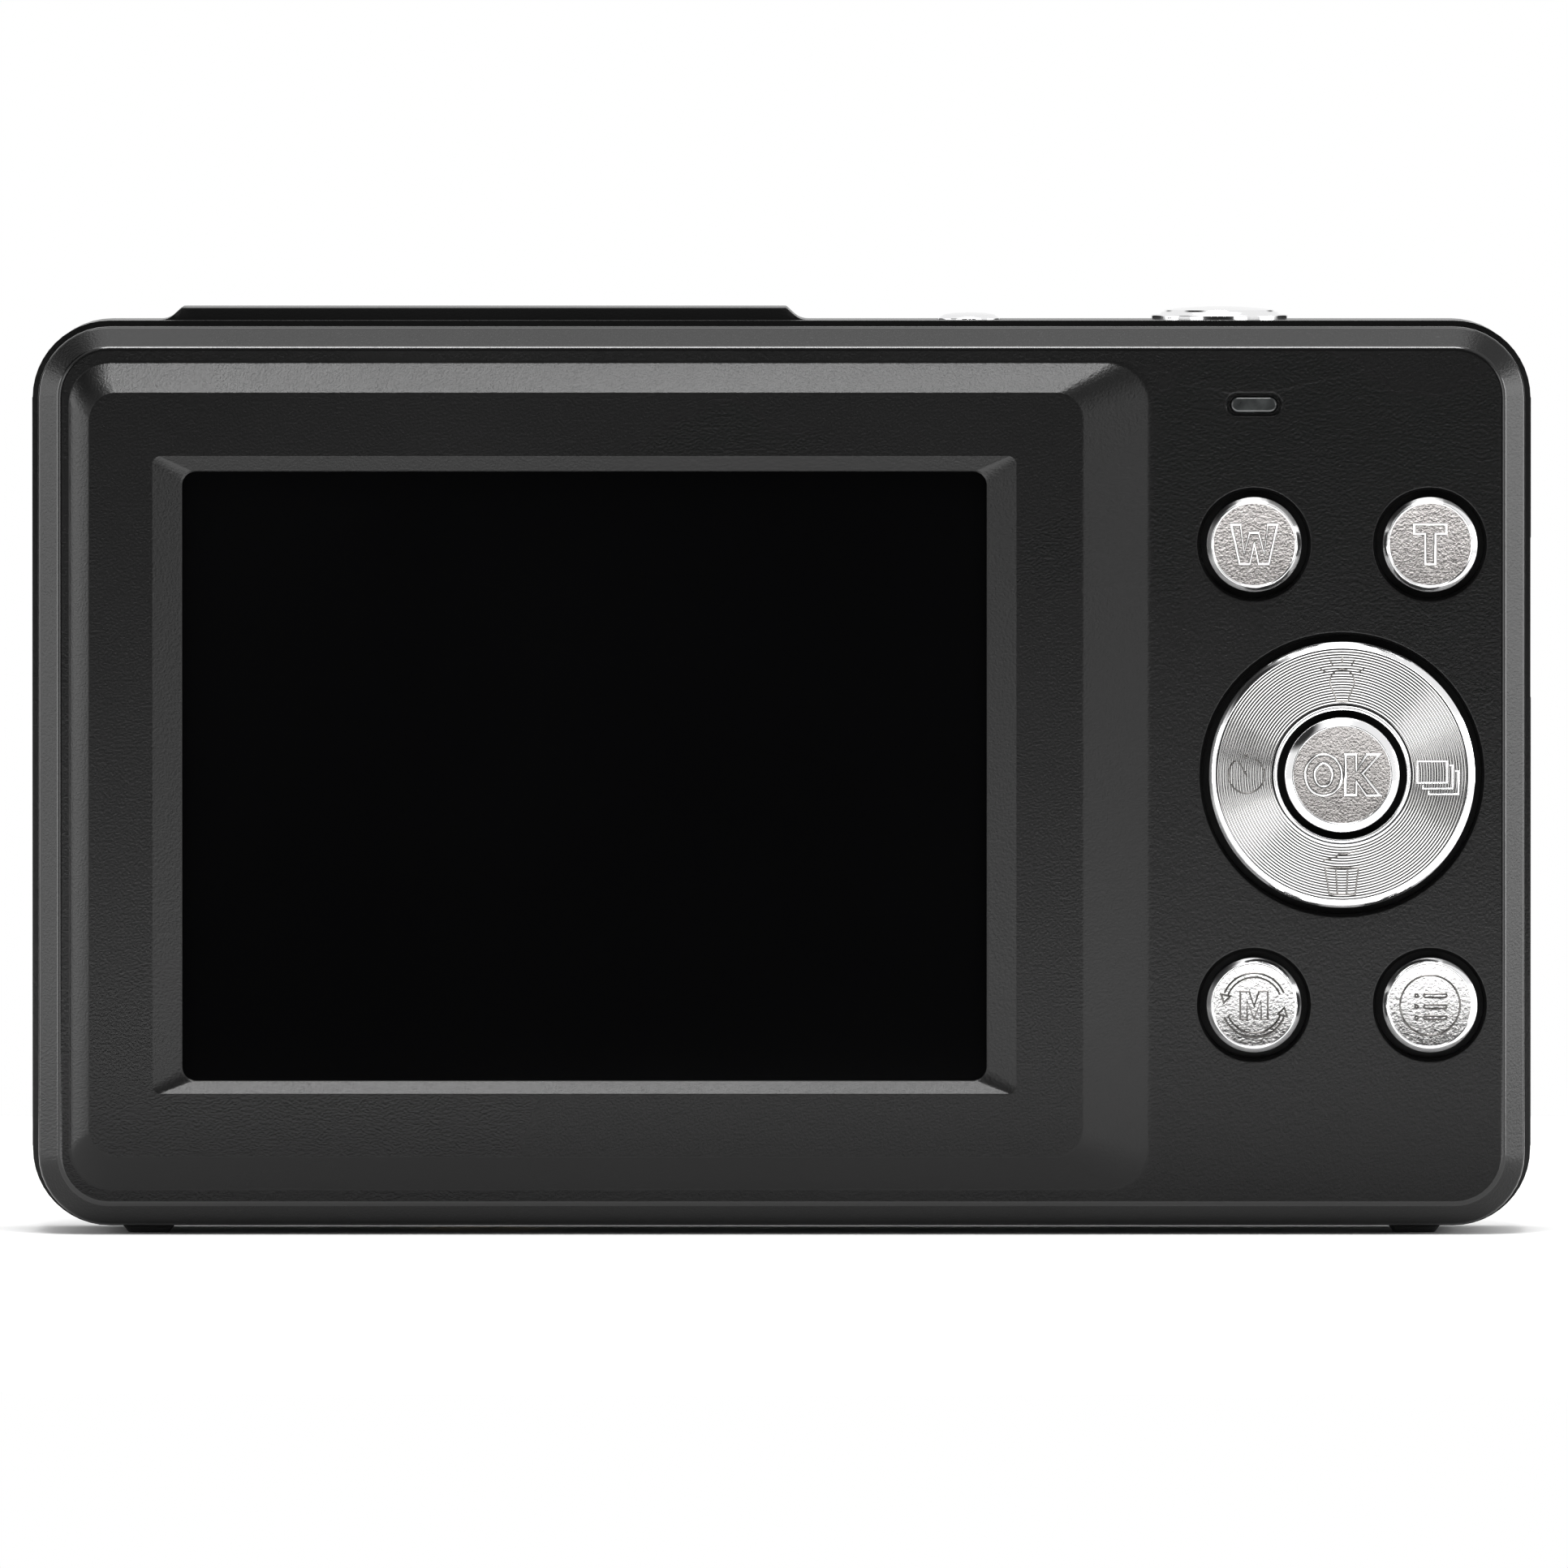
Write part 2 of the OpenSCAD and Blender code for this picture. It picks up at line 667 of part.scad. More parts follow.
tray_left = 28.05;
tray_w = 57.2;
tray_h = 42.8;
tray_wall = 0.4;
glass_t = 1.1;
tray_gap = 0.1;
tray_x0 = screen_x - tray_left;
tray_x1 = tray_x0 + tray_w;
tray_z0 = screen_z - tray_h / 2;
tray_z1 = screen_z + tray_h / 2;
tray_in = tray_wall + tray_gap;
module lcd_panel() color([0.03, 0.03, 0.04])
    block([tray_x0 + tray_in, tray_y, tray_z0 + tray_in],
        [tray_x1 - tray_in, tray_y + glass_t, tray_z1 - tray_in]);

module lcd_backlight() color([0.85, 0.86, 0.88])
    block([tray_x0 + tray_in, tray_y + glass_t, tray_z0 + tray_in],
        [tray_x1 - tray_in, chassis_y - tray_wall, tray_z1 - tray_in]);

module lcd_tray() color([0.6, 0.6, 0.62]) {
    difference() {
        block([tray_x0, tray_y, tray_z0], [tray_x1, chassis_y, tray_z1]);
        block([tray_x0 + tray_wall, tray_y - eps, tray_z0 + tray_wall],
            [tray_x1 - tray_wall, chassis_y - tray_wall, tray_z1 - tray_wall]);
    }
}

// Ribbon that leaves the tray's right side, passes the chassis and lies on the board
ribbon_t = 0.15;
ribbon_w = 16;
ribbon_out = 1.8;
ribbon_on_board = 3;
module lcd_ribbon() color([0.72, 0.42, 0.12]) {
    x0 = tray_x1;
    x1 = tray_x1 + ribbon_out;
    z0 = screen_z - ribbon_w / 2;
    z1 = screen_z + ribbon_w / 2;
    y0 = chassis_y - 0.9;
    block([x0, y0, z0], [x1 + ribbon_t, y0 + ribbon_t, z1]);
    block([x1, y0, z0], [x1 + ribbon_t, board_y, z1]);
    block([x1, board_y - ribbon_t, z0], [x1 + ribbon_on_board, board_y, z1]);
}

// ---------- chassis and boards ----------

board_edge = 0.45;
board_x = end_in_x - board_edge;
board_z0 = bottom_z + 2.55;
board_z1 = top_z - 2.55;
board_r = 3;
switch_room = 1.2;
light_hole_r = 1.5;
// Lightening windows behind the display: width, height, and their distance from its middle
window_cut_w = 42;
window_cut_h = 13;
window_cut_z = 10;

module end_blocks(gap) {
    for (z = right_block_z) end_block_at(z, gap);
    for (z = left_block_z) mirror([1, 0, 0]) end_block_at(z, gap);
}

module end_block_at(z, gap) {
    block([end_in_x - end_block_depth - gap, chassis_y, z - end_block / 2 - gap],
        [end_in_x - 0.1 + gap, end_block_y1, z + end_block / 2 + gap]);
}

module chassis() color([0.2, 0.2, 0.21]) {
    difference() {
        union() {
            difference() {
                slab(-board_x, board_x, board_z0, board_z1, board_r, chassis_y, board_y);
                rod_y(pad_x, pad_z, rock_r + switch_w / 2 + switch_room, chassis_y - 1, board_y + 1);
                for (x = [key_x0, key_x1], z = [key_z0, key_z1])
                    rod_y(x, z, switch_w / 2 + switch_room, chassis_y - 1, board_y + 1);
                rod_y(light_x, light_z, light_hole_r, chassis_y - 1, board_y + 1);
                block([tray_x1 + 0.9, chassis_y - 1, screen_z - ribbon_w / 2 - 1],
                    [tray_x1 + ribbon_out + ribbon_on_board + 2.2, board_y + 1, screen_z + ribbon_w / 2 + 1]);
                for (z = [screen_z - window_cut_z, screen_z + window_cut_z])
                    slab(screen_x - window_cut_w / 2, screen_x + window_cut_w / 2, z - window_cut_h / 2,
                        z + window_cut_h / 2, 2, chassis_y - 1, board_y + 1);
            }
            end_blocks(0);
        }
        for (p = boss_points)
            rod_y(p[0], p[1], screw_r + screw_gap, chassis_y - 1, board_y + 1);
        for (z = right_block_z)
            rod_x(end_screw_y, z, screw_r + run_gap, end_in_x - end_screw_len, end_in_x);
        for (z = left_block_z)
            rod_x(end_screw_y, z, screw_r + run_gap, -end_in_x, -end_in_x + end_screw_len);
    }
}

module main_board() color([0.05, 0.3, 0.16]) {
    difference() {
        slab(-board_x, board_x, board_z0, board_z1, board_r, board_y, board_front_y);
        end_blocks(0.2);
        for (p = boss_points) rod_y(p[0], p[1], screw_r + screw_gap, board_y - 1, board_front_y + 1);
    }
}

// Processor, memory, power parts, ribbon socket, status LED and the sensor's board-to-board socket
module board_chips() color([0.07, 0.07, 0.075]) {
    chip_t = 1.2;
    chips = [[-half_w + 11.65, mid_z + 6, 11, 11], [-half_w + 11.65, mid_z - 8.4, 8, 10],
        [-half_w + 24.25, top_z - 7.35, 6, 5], [-half_w + 36.25, top_z - 7.35, 5, 4]];
    for (c = chips)
        block([c[0] - c[2] / 2, board_front_y, c[1] - c[3] / 2],
            [c[0] + c[2] / 2, board_front_y + chip_t, c[1] + c[3] / 2]);
    block([lens_x - 5, board_front_y, lens_z - 1.5], [lens_x + 5, sensor_board_y, lens_z + 1.5]);
    block([tray_x1 + ribbon_out + 1.2, board_y - 0.9, screen_z - ribbon_w / 2],
        [tray_x1 + ribbon_out + ribbon_on_board, board_y - ribbon_t, screen_z + ribbon_w / 2]);
    block([light_x - 0.8, board_y - 0.7, light_z - 0.4], [light_x + 0.8, board_y, light_z + 0.4]);
}

// A push switch on the back of the board, drawn with its plunger pressed in
module push_switch(x, z) {
    block([x - switch_w / 2, board_y - switch_t, z - switch_w / 2],
        [x + switch_w / 2, board_y, z + switch_w / 2]);
    rod_y(x, z, plunger_d / 2, plunger_y, board_y - switch_t + eps);
}

rock_dirs = [[rock_r, 0], [-rock_r, 0], [0, rock_r], [0, -rock_r]];
module key_switches() color([0.75, 0.75, 0.77]) {
    for (x = [key_x0, key_x1], z = [key_z0, key_z1]) push_switch(x, z);
    push_switch(pad_x, pad_z);
    for (d = rock_dirs) push_switch(pad_x + d[0], pad_z + d[1]);
}

// ---------- keys on the back ----------

// Small round key: bevelled cap, flange behind the back wall, and a stem for the switch
module small_key(x, z) {
    r = key_d / 2;
    face = flat_y - key_proud;
    flange = rear_in_y + top_gap;
    turned_y(x, z, [[0, face], [r - key_bevel, face], [r, face + key_bevel], [r, flange],
        [r + key_flange_over, flange], [r + key_flange_over, flange + key_flange_t],
        [key_stem_d / 2, flange + key_flange_t], [key_stem_d / 2, stem_y], [0, stem_y]]);
}

module wide_key() color([0.72, 0.7, 0.69]) small_key(key_x0, key_z1);
module tele_key() color([0.72, 0.7, 0.69]) small_key(key_x1, key_z1);
module mode_key() color([0.8, 0.8, 0.8]) small_key(key_x0, key_z0);
module menu_key() color([0.8, 0.8, 0.8]) small_key(key_x1, key_z0);

pad_bevel = 0.4;
nub_r = 0.8;
nub_y = plunger_y - 0.3;
module four_way_pad() color([0.82, 0.82, 0.83]) {
    r = pad_d / 2;
    hole = pad_hole_d / 2;
    face = flat_y - pad_proud;
    rim = r + pad_flange_over;
    flange = pad_under_y - pad_flange_t;
    turned_y(pad_x, pad_z, [[hole, face + pad_bevel], [hole + pad_bevel, face], [r - pad_bevel, face],
        [r, face + pad_bevel], [r, flange], [rim, flange], [rim, pad_under_y], [pad_pocket_r, pad_under_y],
        [pad_pocket_r, pad_pocket_y], [hole, pad_pocket_y]]);
    for (d = rock_dirs) rod_y(pad_x + d[0], pad_z + d[1], nub_r, pad_under_y - eps, nub_y);
}

// Ring that the pad rocks on. Two legs along X stand on the board with round edges, for up and down;
// two round edges along Z in front of it carry the pad, for left and right.
rocker_leg_x0 = 2.6;
rocker_leg_x1 = 4.1;
module pad_rocker() color([0.3, 0.3, 0.31]) {
    e = rocker_edge_r;
    y0 = rocker_y;
    y1 = rocker_y + rocker_t;
    foot_edge_y = board_y - e - rock_gap;
    difference() {
        rod_y(pad_x, pad_z, rocker_r, y0, y1);
        rod_y(pad_x, pad_z, rocker_hole_r, y0 - 1, y1 + 1);
    }
    for (s = [-1, 1]) {
        leg = [s * rocker_leg_x0, s * rocker_leg_x1];
        a = pad_x + min(leg);
        b = pad_x + max(leg);
        block([a, y1 - eps, pad_z - e], [b, foot_edge_y, pad_z + e]);
        rod_x(foot_edge_y, pad_z, e, a, b);
        edge = [s * (pad_pocket_r + 0.02), s * (rocker_r - 0.05)];
        rod_z(pad_x, pad_under_y + e + rock_gap, e, pad_z + min(edge), pad_z + max(edge));
    }
}

module ok_key() color([0.72, 0.7, 0.69]) {
    r = ok_d / 2;
    face = flat_y - ok_proud;
    turned_y(pad_x, pad_z, [[0, face], [r - 0.5, face], [r, face + 0.5], [r, ok_flange_y],
        [ok_flange_r, ok_flange_y], [ok_flange_r, ok_flange_y + ok_flange_t],
        [key_stem_d / 2, ok_flange_y + ok_flange_t], [key_stem_d / 2, stem_y], [0, stem_y]]);
}

module status_light_pipe() color([0.75, 0.8, 0.78, 0.6]) {
    stadium(light_x, light_z, pipe_len, pipe_h, flat_y + 0.05, rear_in_y + eps);
    stadium(light_x, light_z, pipe_len + 1.5, pipe_h + 1.4, rear_in_y, rear_in_y + 0.6);
}

// ---------- top controls ----------

module power_button() color([0.85, 0.85, 0.86]) {
    r = power_d / 2;
    crown = top_z + power_proud;
    flange = top_in_z - top_gap;
    stem = top_press_z + power_travel + press_gap;
    turned_z(power_x, shutter_y, [[0, crown], [r - 0.5, crown], [r - 0.1, crown - 0.22], [r, crown - 0.4],
        [r, flange], [power_flange_d / 2, flange], [power_flange_d / 2, flange - cap_flange_t],
        [0.8, flange - cap_flange_t], [0.8, stem], [0, stem]]);
}

// Space between the main board and the front wall; the flanges under the shutter button are cut
// flat where they would leave it
module between_board_and_front(rear_y) {
    block([power_x - 10, rear_y, 0], [half_w, front_in_y - glue_gap, top_z + bezel_h]);
}

module shutter_ring() color([0.85, 0.85, 0.86]) {
    r = shutter_ring_d / 2;
    bore = shutter_d / 2 + 0.1;
    ledge = top_z + shutter_ledge;
    edge = 0.12;
    under = top_in_z - glue_gap;
    flange_r = r + 0.85;
    foot = under - shutter_ring_flange_t;
    intersection() {
        turned_z(shutter_x, shutter_y, [[bore, ledge], [r - edge, ledge], [r, ledge - edge], [r, under],
            [flange_r, under], [flange_r, foot], [bore, foot]]);
        between_board_and_front(split_y);
    }
}

shutter_flange_z = top_in_z - glue_gap - shutter_ring_flange_t - top_gap;
module shutter_button() color([0.85, 0.85, 0.86]) {
    r = shutter_d / 2;
    crown = top_z + shutter_proud;
    edge = 0.35;
    dome_r = 26;
    flange_r = shutter_flange_d / 2;
    flange_foot = shutter_flange_z - cap_flange_t;
    stem_r = 1;
    stem_foot = top_press_z + shutter_travel + press_gap;
    intersection() {
        turned_z(shutter_x, shutter_y, [[0, crown], [r - edge, crown], [r, crown - edge],
            [r, shutter_flange_z], [flange_r, shutter_flange_z], [flange_r, flange_foot],
            [stem_r, flange_foot], [stem_r, stem_foot], [0, stem_foot]]);
        translate([shutter_x, shutter_y, crown - dome_r]) sphere(r = dome_r);
        between_board_and_front(board_front_y + top_gap);
    }
}

// Closed tube along a helix, as one polyhedron; both ends are turned flat
module helix_tube(coil_r, wire_r, z0, z1, turns, steps, sides) {
    count = turns * steps;
    rise = (z1 - z0 - 2 * wire_r) / count;
    points = [for (i = [0:count], j = [0:sides - 1])
        let (a = 360 * i / steps, b = 360 * j / sides, rr = coil_r + wire_r * cos(b))
            [rr * cos(a), rr * sin(a), z0 + wire_r + rise * i + wire_r * sin(b)]];
    skin = [for (i = [0:count - 1], j = [0:sides - 1])
        let (k = (j + 1) % sides)
            [i * sides + j, i * sides + k, (i + 1) * sides + k, (i + 1) * sides + j]];
    start = [for (j = [0:sides - 1]) sides - 1 - j];
    finish = [for (j = [0:sides - 1]) count * sides + j];
    polyhedron(points = points, faces = concat([start], [for (f = skin) [f[3], f[2], f[1], f[0]]], [finish]));
}

spring_gap = 0.05;
module shutter_spring() color([0.7, 0.7, 0.72]) {
    translate([shutter_x, shutter_y, 0])
        helix_tube(spring_d / 2, spring_wire / 2, top_board_z + top_board_t + spring_gap,
            shutter_flange_z - cap_flange_t - spring_gap, 3, 20, 8);
}

module top_board() color([0.05, 0.3, 0.16]) {
    block([power_x - 3.1, shutter_y - 2.6, top_board_z], [shutter_x + 3.9, shutter_y + 2.3,
        top_board_z + top_board_t]);
    intersection() {
        rod_z(shutter_x, shutter_y, spring_d / 2 + 0.5, top_board_z, top_board_z + top_board_t);
        between_board_and_front(board_front_y + top_gap);
    }
}

module top_switches() color([0.75, 0.75, 0.77]) {
    z0 = top_board_z + top_board_t;
    w = top_switch_w / 2;
    for (x = [power_x, shutter_x]) {
        block([x - w, shutter_y - w, z0], [x + w, shutter_y + w, z0 + top_switch_t]);
        rod_z(x, shutter_y, 1, z0 + top_switch_t - eps, top_press_z);
    }
}

// ---------- lens unit ----------

module lens_ring() color([0.8, 0.8, 0.82]) {
    r = lens_ring_d / 2;
    crown = panel_y + lens_ring_h;
    seat = lens_window_d / 2 + glue_gap;
    turned_y(lens_x, lens_z, [[r, panel_y], [r, crown - 1.1], [r - 0.8, crown], [r - 2.3, crown],
        [seat, crown - 0.9], [seat, window_ledge_y], [ring_bore_r, window_ledge_y],
        [ring_bore_r, front_in_y - 0.2], [spigot_r, front_in_y - 0.2], [spigot_r, panel_y]]);
}

module lens_window() color([0.6, 0.65, 0.7, 0.35])
    rod_y(lens_x, lens_z, lens_window_d / 2, window_ledge_y, window_ledge_y + lens_window_t);

// Black cone with steps that catch stray light
hood_steps = 5;
module lens_hood() color([0.03, 0.03, 0.03]) {
    front = window_ledge_y - 0.1;
    throat_y = barrel_front_y + 0.1;
    step_r = (hood_mouth_r - hood_throat_r) / hood_steps;
    step_y = (front - throat_y) / (hood_steps + 1);
    steps = [for (k = [0:hood_steps - 1], half = [0, 1])
        [hood_throat_r + (k + half) * step_r, throat_y + (k + 1) * step_y]];
    turned_y(lens_x, lens_z, concat([[hood_throat_r, throat_y]], steps, [[hood_mouth_r, front],
        [hood_r, front], [hood_r, hood_back_y], [barrel_r + 0.1, hood_back_y], [barrel_r + 0.1, throat_y]]));
}

front_lens_y = barrel_front_y - 2.4;
rear_lens_y = barrel_front_y - 5.8;
module lens_barrel() color([0.06, 0.06, 0.06]) {
    w = holder_w / 2;
    h = holder_hole / 2;
    difference() {
        union() {
            slab(lens_x - w, lens_x + w, lens_z - w, lens_z + w, 1.5, holder_y, holder_y + holder_t);
            rod_y(lens_x, lens_z, barrel_r, holder_y + holder_t - eps, barrel_front_y);
        }
        block([lens_x - h, holder_y - eps, lens_z - h], [lens_x + h, holder_y + 2, lens_z + h]);
        rod_y(lens_x, lens_z, 3, holder_y, barrel_front_y + 1);
        rod_y(lens_x, lens_z, rear_lens_r + glue_gap, rear_lens_y, barrel_front_y + 1);
        rod_y(lens_x, lens_z, front_lens_r + glue_gap, front_lens_y, barrel_front_y + 1);
        block([lens_x - filter_w / 2 - glue_gap, holder_y, lens_z - filter_w / 2 - glue_gap],
            [lens_x + filter_w / 2 + glue_gap, holder_y + 2 + filter_t + glue_gap,
                lens_z + filter_w / 2 + glue_gap]);
    }
}

// A round lens with a domed front, whose edge starts at y0
module dome_lens(r, y0, edge_t, dome_r) {
    $fn = 128;
    dome_h = dome_r - sqrt(dome_r * dome_r - r * r);
    intersection() {
        rod_y(lens_x, lens_z, r, y0, y0 + edge_t + dome_h);
        translate([lens_x, y0 + edge_t + dome_h - dome_r, lens_z]) sphere(r = dome_r);
    }
}

module front_lens() color([0.6, 0.65, 0.75, 0.35]) dome_lens(front_lens_r, front_lens_y, 1.1, 12);
module rear_lens() color([0.6, 0.65, 0.75, 0.35]) dome_lens(rear_lens_r, rear_lens_y, 0.9, 9);

module infrared_filter() color([0.6, 0.85, 0.85, 0.4])
    block([lens_x - filter_w / 2, holder_y + 2 + glue_gap, lens_z - filter_w / 2],
        [lens_x + filter_w / 2, holder_y + 2 + filter_t, lens_z + filter_w / 2]);

module image_sensor() color([0.12, 0.13, 0.2]) {
    w = sensor_w / 2;
    block([lens_x - w, holder_y, lens_z - w], [lens_x + w, holder_y + sensor_t, lens_z + w]);
}

module sensor_board() color([0.05, 0.3, 0.16]) {
    w = sensor_board_w / 2;
    slab(lens_x - w, lens_x + w, lens_z - w, lens_z + w, 1, sensor_board_y, holder_y);
}

// ---------- fill light, microphone and speaker ----------

fill_flange = 1;
fill_flange_t = 0.8;
fill_leg = 1.1;
led_t = 1;
fill_board_t = 0.8;
fill_board_y = front_in_y - fill_flange_t - fill_leg - fill_board_t;
module fill_light_window() color([0.9, 0.9, 0.88, 0.5]) {
    w = fill_w / 2;
    h = fill_h / 2;
    f = fill_flange;
    y0 = front_in_y - fill_flange_t;
    slab(fill_x - w, fill_x + w, fill_z - h, fill_z + h, 1, front_in_y - eps, front_y + 0.1);
    slab(fill_x - w - f, fill_x + w + f, fill_z - h - f, fill_z + h + f, 1.2, y0, front_in_y);
    for (s = [-1, 1]) translate([s * (w + f - 0.6), 0, 0])
        block([fill_x - 0.5, y0 - fill_leg, fill_z - h], [fill_x + 0.5, y0 + eps, fill_z + h]);
}

module fill_light_led() color([0.95, 0.9, 0.5])
    block([fill_x - 1.75, fill_board_y + fill_board_t, fill_z - 1.4],
        [fill_x + 1.75, fill_board_y + fill_board_t + led_t, fill_z + 1.4]);

module fill_light_board() color([0.05, 0.3, 0.16]) {
    w = fill_w / 2 + fill_flange;
    block([fill_x - w, fill_board_y, fill_z - fill_h / 2], [fill_x + w, fill_board_y + fill_board_t,
        fill_z + fill_h / 2]);
}

module microphone() color([0.7, 0.7, 0.72]) rod_y(mic_x, mic_z, 2, front_in_y - 1.3, front_in_y);

module speaker() color([0.15, 0.15, 0.16]) {
    x0 = -end_in_x;
    difference() {
        rod_x(speaker_y, mid_z, speaker_r, x0, x0 + speaker_t);
        rod_x(speaker_y, mid_z, speaker_r - 0.7, x0 - eps, x0 + 0.5);
    }
}

// ---------- battery, card and door ----------

post_w = 3;
module battery_bay() color([0.13, 0.13, 0.135]) {
    contact_slots = 3.6;
    difference() {
        block([bay_x0, bay_y, bay_z0], [bay_x1, front_in_y, bay_z1]);
        block([bay_x0 + bay_wall, bay_y + bay_wall, bay_z0 - 1], [bay_x1 - bay_wall, front_in_y + 1,
            bay_z1 - bay_wall]);
        block([battery_mid_x - contact_slots - 1, battery_y0 + 0.6, bay_z1 - bay_wall - 1],
            [battery_mid_x + contact_slots + 1, battery_y0 + 3.4, bay_z1 + 1]);
    }
    for (x = [power_x - 3, shutter_x + 0.6])
        block([x, shutter_y - 2.4 + 1.1, bay_z1 - eps], [x + post_w, shutter_y + 2.2, top_board_z]);
}

battery_mid_x = battery_x0 + battery_w / 2;
module battery() color([0.18, 0.19, 0.22]) {
    translate([0, 0, battery_z0]) linear_extrude(battery_h) {
        r = 0.8;
        translate([battery_x0, battery_y0 + r]) square([battery_w, battery_t - 2 * r]);
        translate([battery_x0 + r, battery_y0]) square([battery_w - 2 * r, battery_t]);
        for (x = [battery_x0 + r, battery_x0 + battery_w - r])
            for (y = [battery_y0 + r, battery_y0 + battery_t - r]) translate([x, y]) circle(r = r);
    }
}

// Three bent leaves that meet the battery's top
module battery_contacts() color([0.85, 0.68, 0.3]) {
    leaf = 0.25;
    y0 = battery_y0 + 0.8;
    y1 = battery_y0 + 3.2;
    outline = [[y0, battery_z1], [y1, battery_z1], [y1, bay_z1 + 0.5], [y1 - leaf, bay_z1 + 0.5],
        [y1 - leaf, battery_z1 + leaf], [y0, battery_z1 + leaf]];
    for (k = [-1:1]) translate([battery_mid_x + k * 3.2 - 0.6, 0, 0]) rotate([90, 0, 90])
        linear_extrude(1.2) polygon(outline);
}

// Thumb grip of the latch
grip_x0 = latch_x0 + 1.7;
grip_x1 = latch_x0 + 3.8;
grip_half = latch_w / 2 - 0.9;
grip_rib_pitch = 0.6;
module battery_door() color([0.1, 0.1, 0.105]) {
    mid = latch_y;
    half = latch_w / 2;
    difference() {
        union() {
            block([door_x0, door_y0, bottom_z], [hinge_x, door_y1, bottom_z + door_t]);
            rod_y(hinge_x, hinge_z, hinge_r, door_y0, door_y1);
            block([door_x0 + 0.5, mid - half - 0.9, bottom_z + eps],
                [door_x0 + latch_block_len, mid + half + 0.9, latch_block_z]);
        }
        rod_y(hinge_x, hinge_z, hinge_d / 2 + run_gap, door_y0 - 1, door_y1 + 1);
        // Channel for the latch, open at the door's end, and the slot for its thumb grip
        block([door_x0 - 1, mid - half - latch_gap, bottom_z + latch_floor],
            [latch_x0 + latch_len + 0.1, mid + half + latch_gap,
                bottom_z + latch_floor + latch_t + 2 * latch_gap]);
        block([grip_x0 - 0.8 - latch_travel / 2, mid - grip_half - 0.1, bottom_z - 1],
            [grip_x1 + 0.1, mid + grip_half + 0.1, bottom_z + latch_floor + eps]);
    }
}

module door_hinge_pin() color([0.75, 0.75, 0.77])
    rod_y(hinge_x, hinge_z, hinge_d / 2, door_y0 - 0.9, door_y1 + 0.7);

// Slide that locks the door; it is drawn released
module door_latch() color([0.25, 0.25, 0.26]) {
    mid = latch_y;
    half = latch_w / 2;
    z0 = bottom_z + latch_floor + latch_gap;
    block([latch_x0, mid - half, z0], [latch_x0 + latch_len, mid + half, z0 + latch_t]);
    difference() {
        block([grip_x0, mid - grip_half, bottom_z + 0.05], [grip_x1, mid + grip_half, z0 + eps]);
        for (x = [grip_x0 + 0.25 : grip_rib_pitch : grip_x1 - 0.5])
            block([x, mid - half, bottom_z], [x + grip_rib_pitch / 2, mid + half, bottom_z + 0.25]);
    }
}

socket_x0 = battery_x0 + 3.5;
card_x0 = socket_x0 + (socket_w - card_w) / 2;
card_z0 = bottom_z + 2.75;
card_y = board_front_y + 0.4;
module card_socket() color([0.7, 0.7, 0.72]) {
    skin = 0.3;
    difference() {
        block([socket_x0, board_front_y, card_z0 + 3.8], [socket_x0 + socket_w, board_front_y + socket_t,
            card_z0 + card_h + 1.4]);
        block([card_x0 - 0.2, board_front_y + skin, card_z0], [card_x0 + card_w + 0.2,
            board_front_y + socket_t - skin, card_z0 + card_h + 0.2]);
    }
}

module memory_card() color([0.1, 0.16, 0.32]) {
    corner = 4;
    right = card_x0 + card_w;
    top = card_z0 + card_h;
    outline = [[card_x0, card_z0], [right, card_z0], [right, top - corner], [right - corner, top],
        [card_x0, top]];
    translate([0, card_y + card_t, 0]) rotate([90, 0, 0]) linear_extrude(card_t) polygon(outline);
}

module usb_socket() color([0.75, 0.75, 0.77]) {
    x1 = half_w + trim_proud - trim_t + 0.5;
    x0 = x1 - usb_depth;
    tongue_t = 0.7;
    mid = board_front_y + usb_t / 2;
    difference() {
        block([x0, board_front_y, usb_z - usb_w / 2], [x1, board_front_y + usb_t, usb_z + usb_w / 2]);
        block([x0 + 0.8, board_front_y + 0.35, usb_z - usb_w / 2 + 0.35], [x1 + 1,
            board_front_y + usb_t - 0.35, usb_z + usb_w / 2 - 0.35]);
    }
    block([x0 + 0.5, mid - tongue_t / 2, usb_z - usb_w / 2 + 1.2], [x1 - 0.6, mid + tongue_t / 2,
        usb_z + usb_w / 2 - 1.2]);
}

// ---------- strap pin, bush, screws and feet ----------

module strap_pin() color([0.75, 0.75, 0.77])
    rod_z(strap_pin_x, strap_y0 + strap_w / 2, strap_pin_d / 2, strap_z0 - strap_wall + 0.2,
        strap_z0 + strap_len + strap_wall - 0.2);

module tripod_bush() color([0.78, 0.66, 0.35]) {
    r = tripod_bore_d / 2;
    turned_z(bush_x, bush_y, [[r + 0.4, bottom_z + eps], [bush_r, bottom_z + eps], [bush_r, bottom_in_z],
        [bush_flange_r, bottom_in_z], [bush_flange_r, bottom_in_z + 1], [bush_r, bottom_in_z + 1],
        [bush_r, bottom_z + bush_h], [0, bottom_z + bush_h], [0, bottom_z + bush_bore_h + 0.4],
        [r, bottom_z + bush_bore_h + 0.4], [r, bottom_z + 0.4]]);
}

module board_screws() color([0.7, 0.7, 0.72]) {
    for (p = boss_points) {
        rod_y(p[0], p[1], screw_head_r, board_front_y, board_front_y + screw_head_t);
        rod_y(p[0], p[1], screw_r, board_front_y - screw_len, board_front_y + eps);
    }
}

module end_screw(z) {
    seat_x = half_w + trim_proud - trim_t;
    rod_x(end_screw_y, z, end_screw_head_r, seat_x - end_screw_head_t, seat_x - 0.1);
    rod_x(end_screw_y, z, screw_r, seat_x - end_screw_len, seat_x - end_screw_head_t + eps);
}

module case_screws() color([0.7, 0.7, 0.72]) {
    for (z = right_block_z) end_screw(z);
    for (z = left_block_z) mirror([1, 0, 0]) end_screw(z);
}

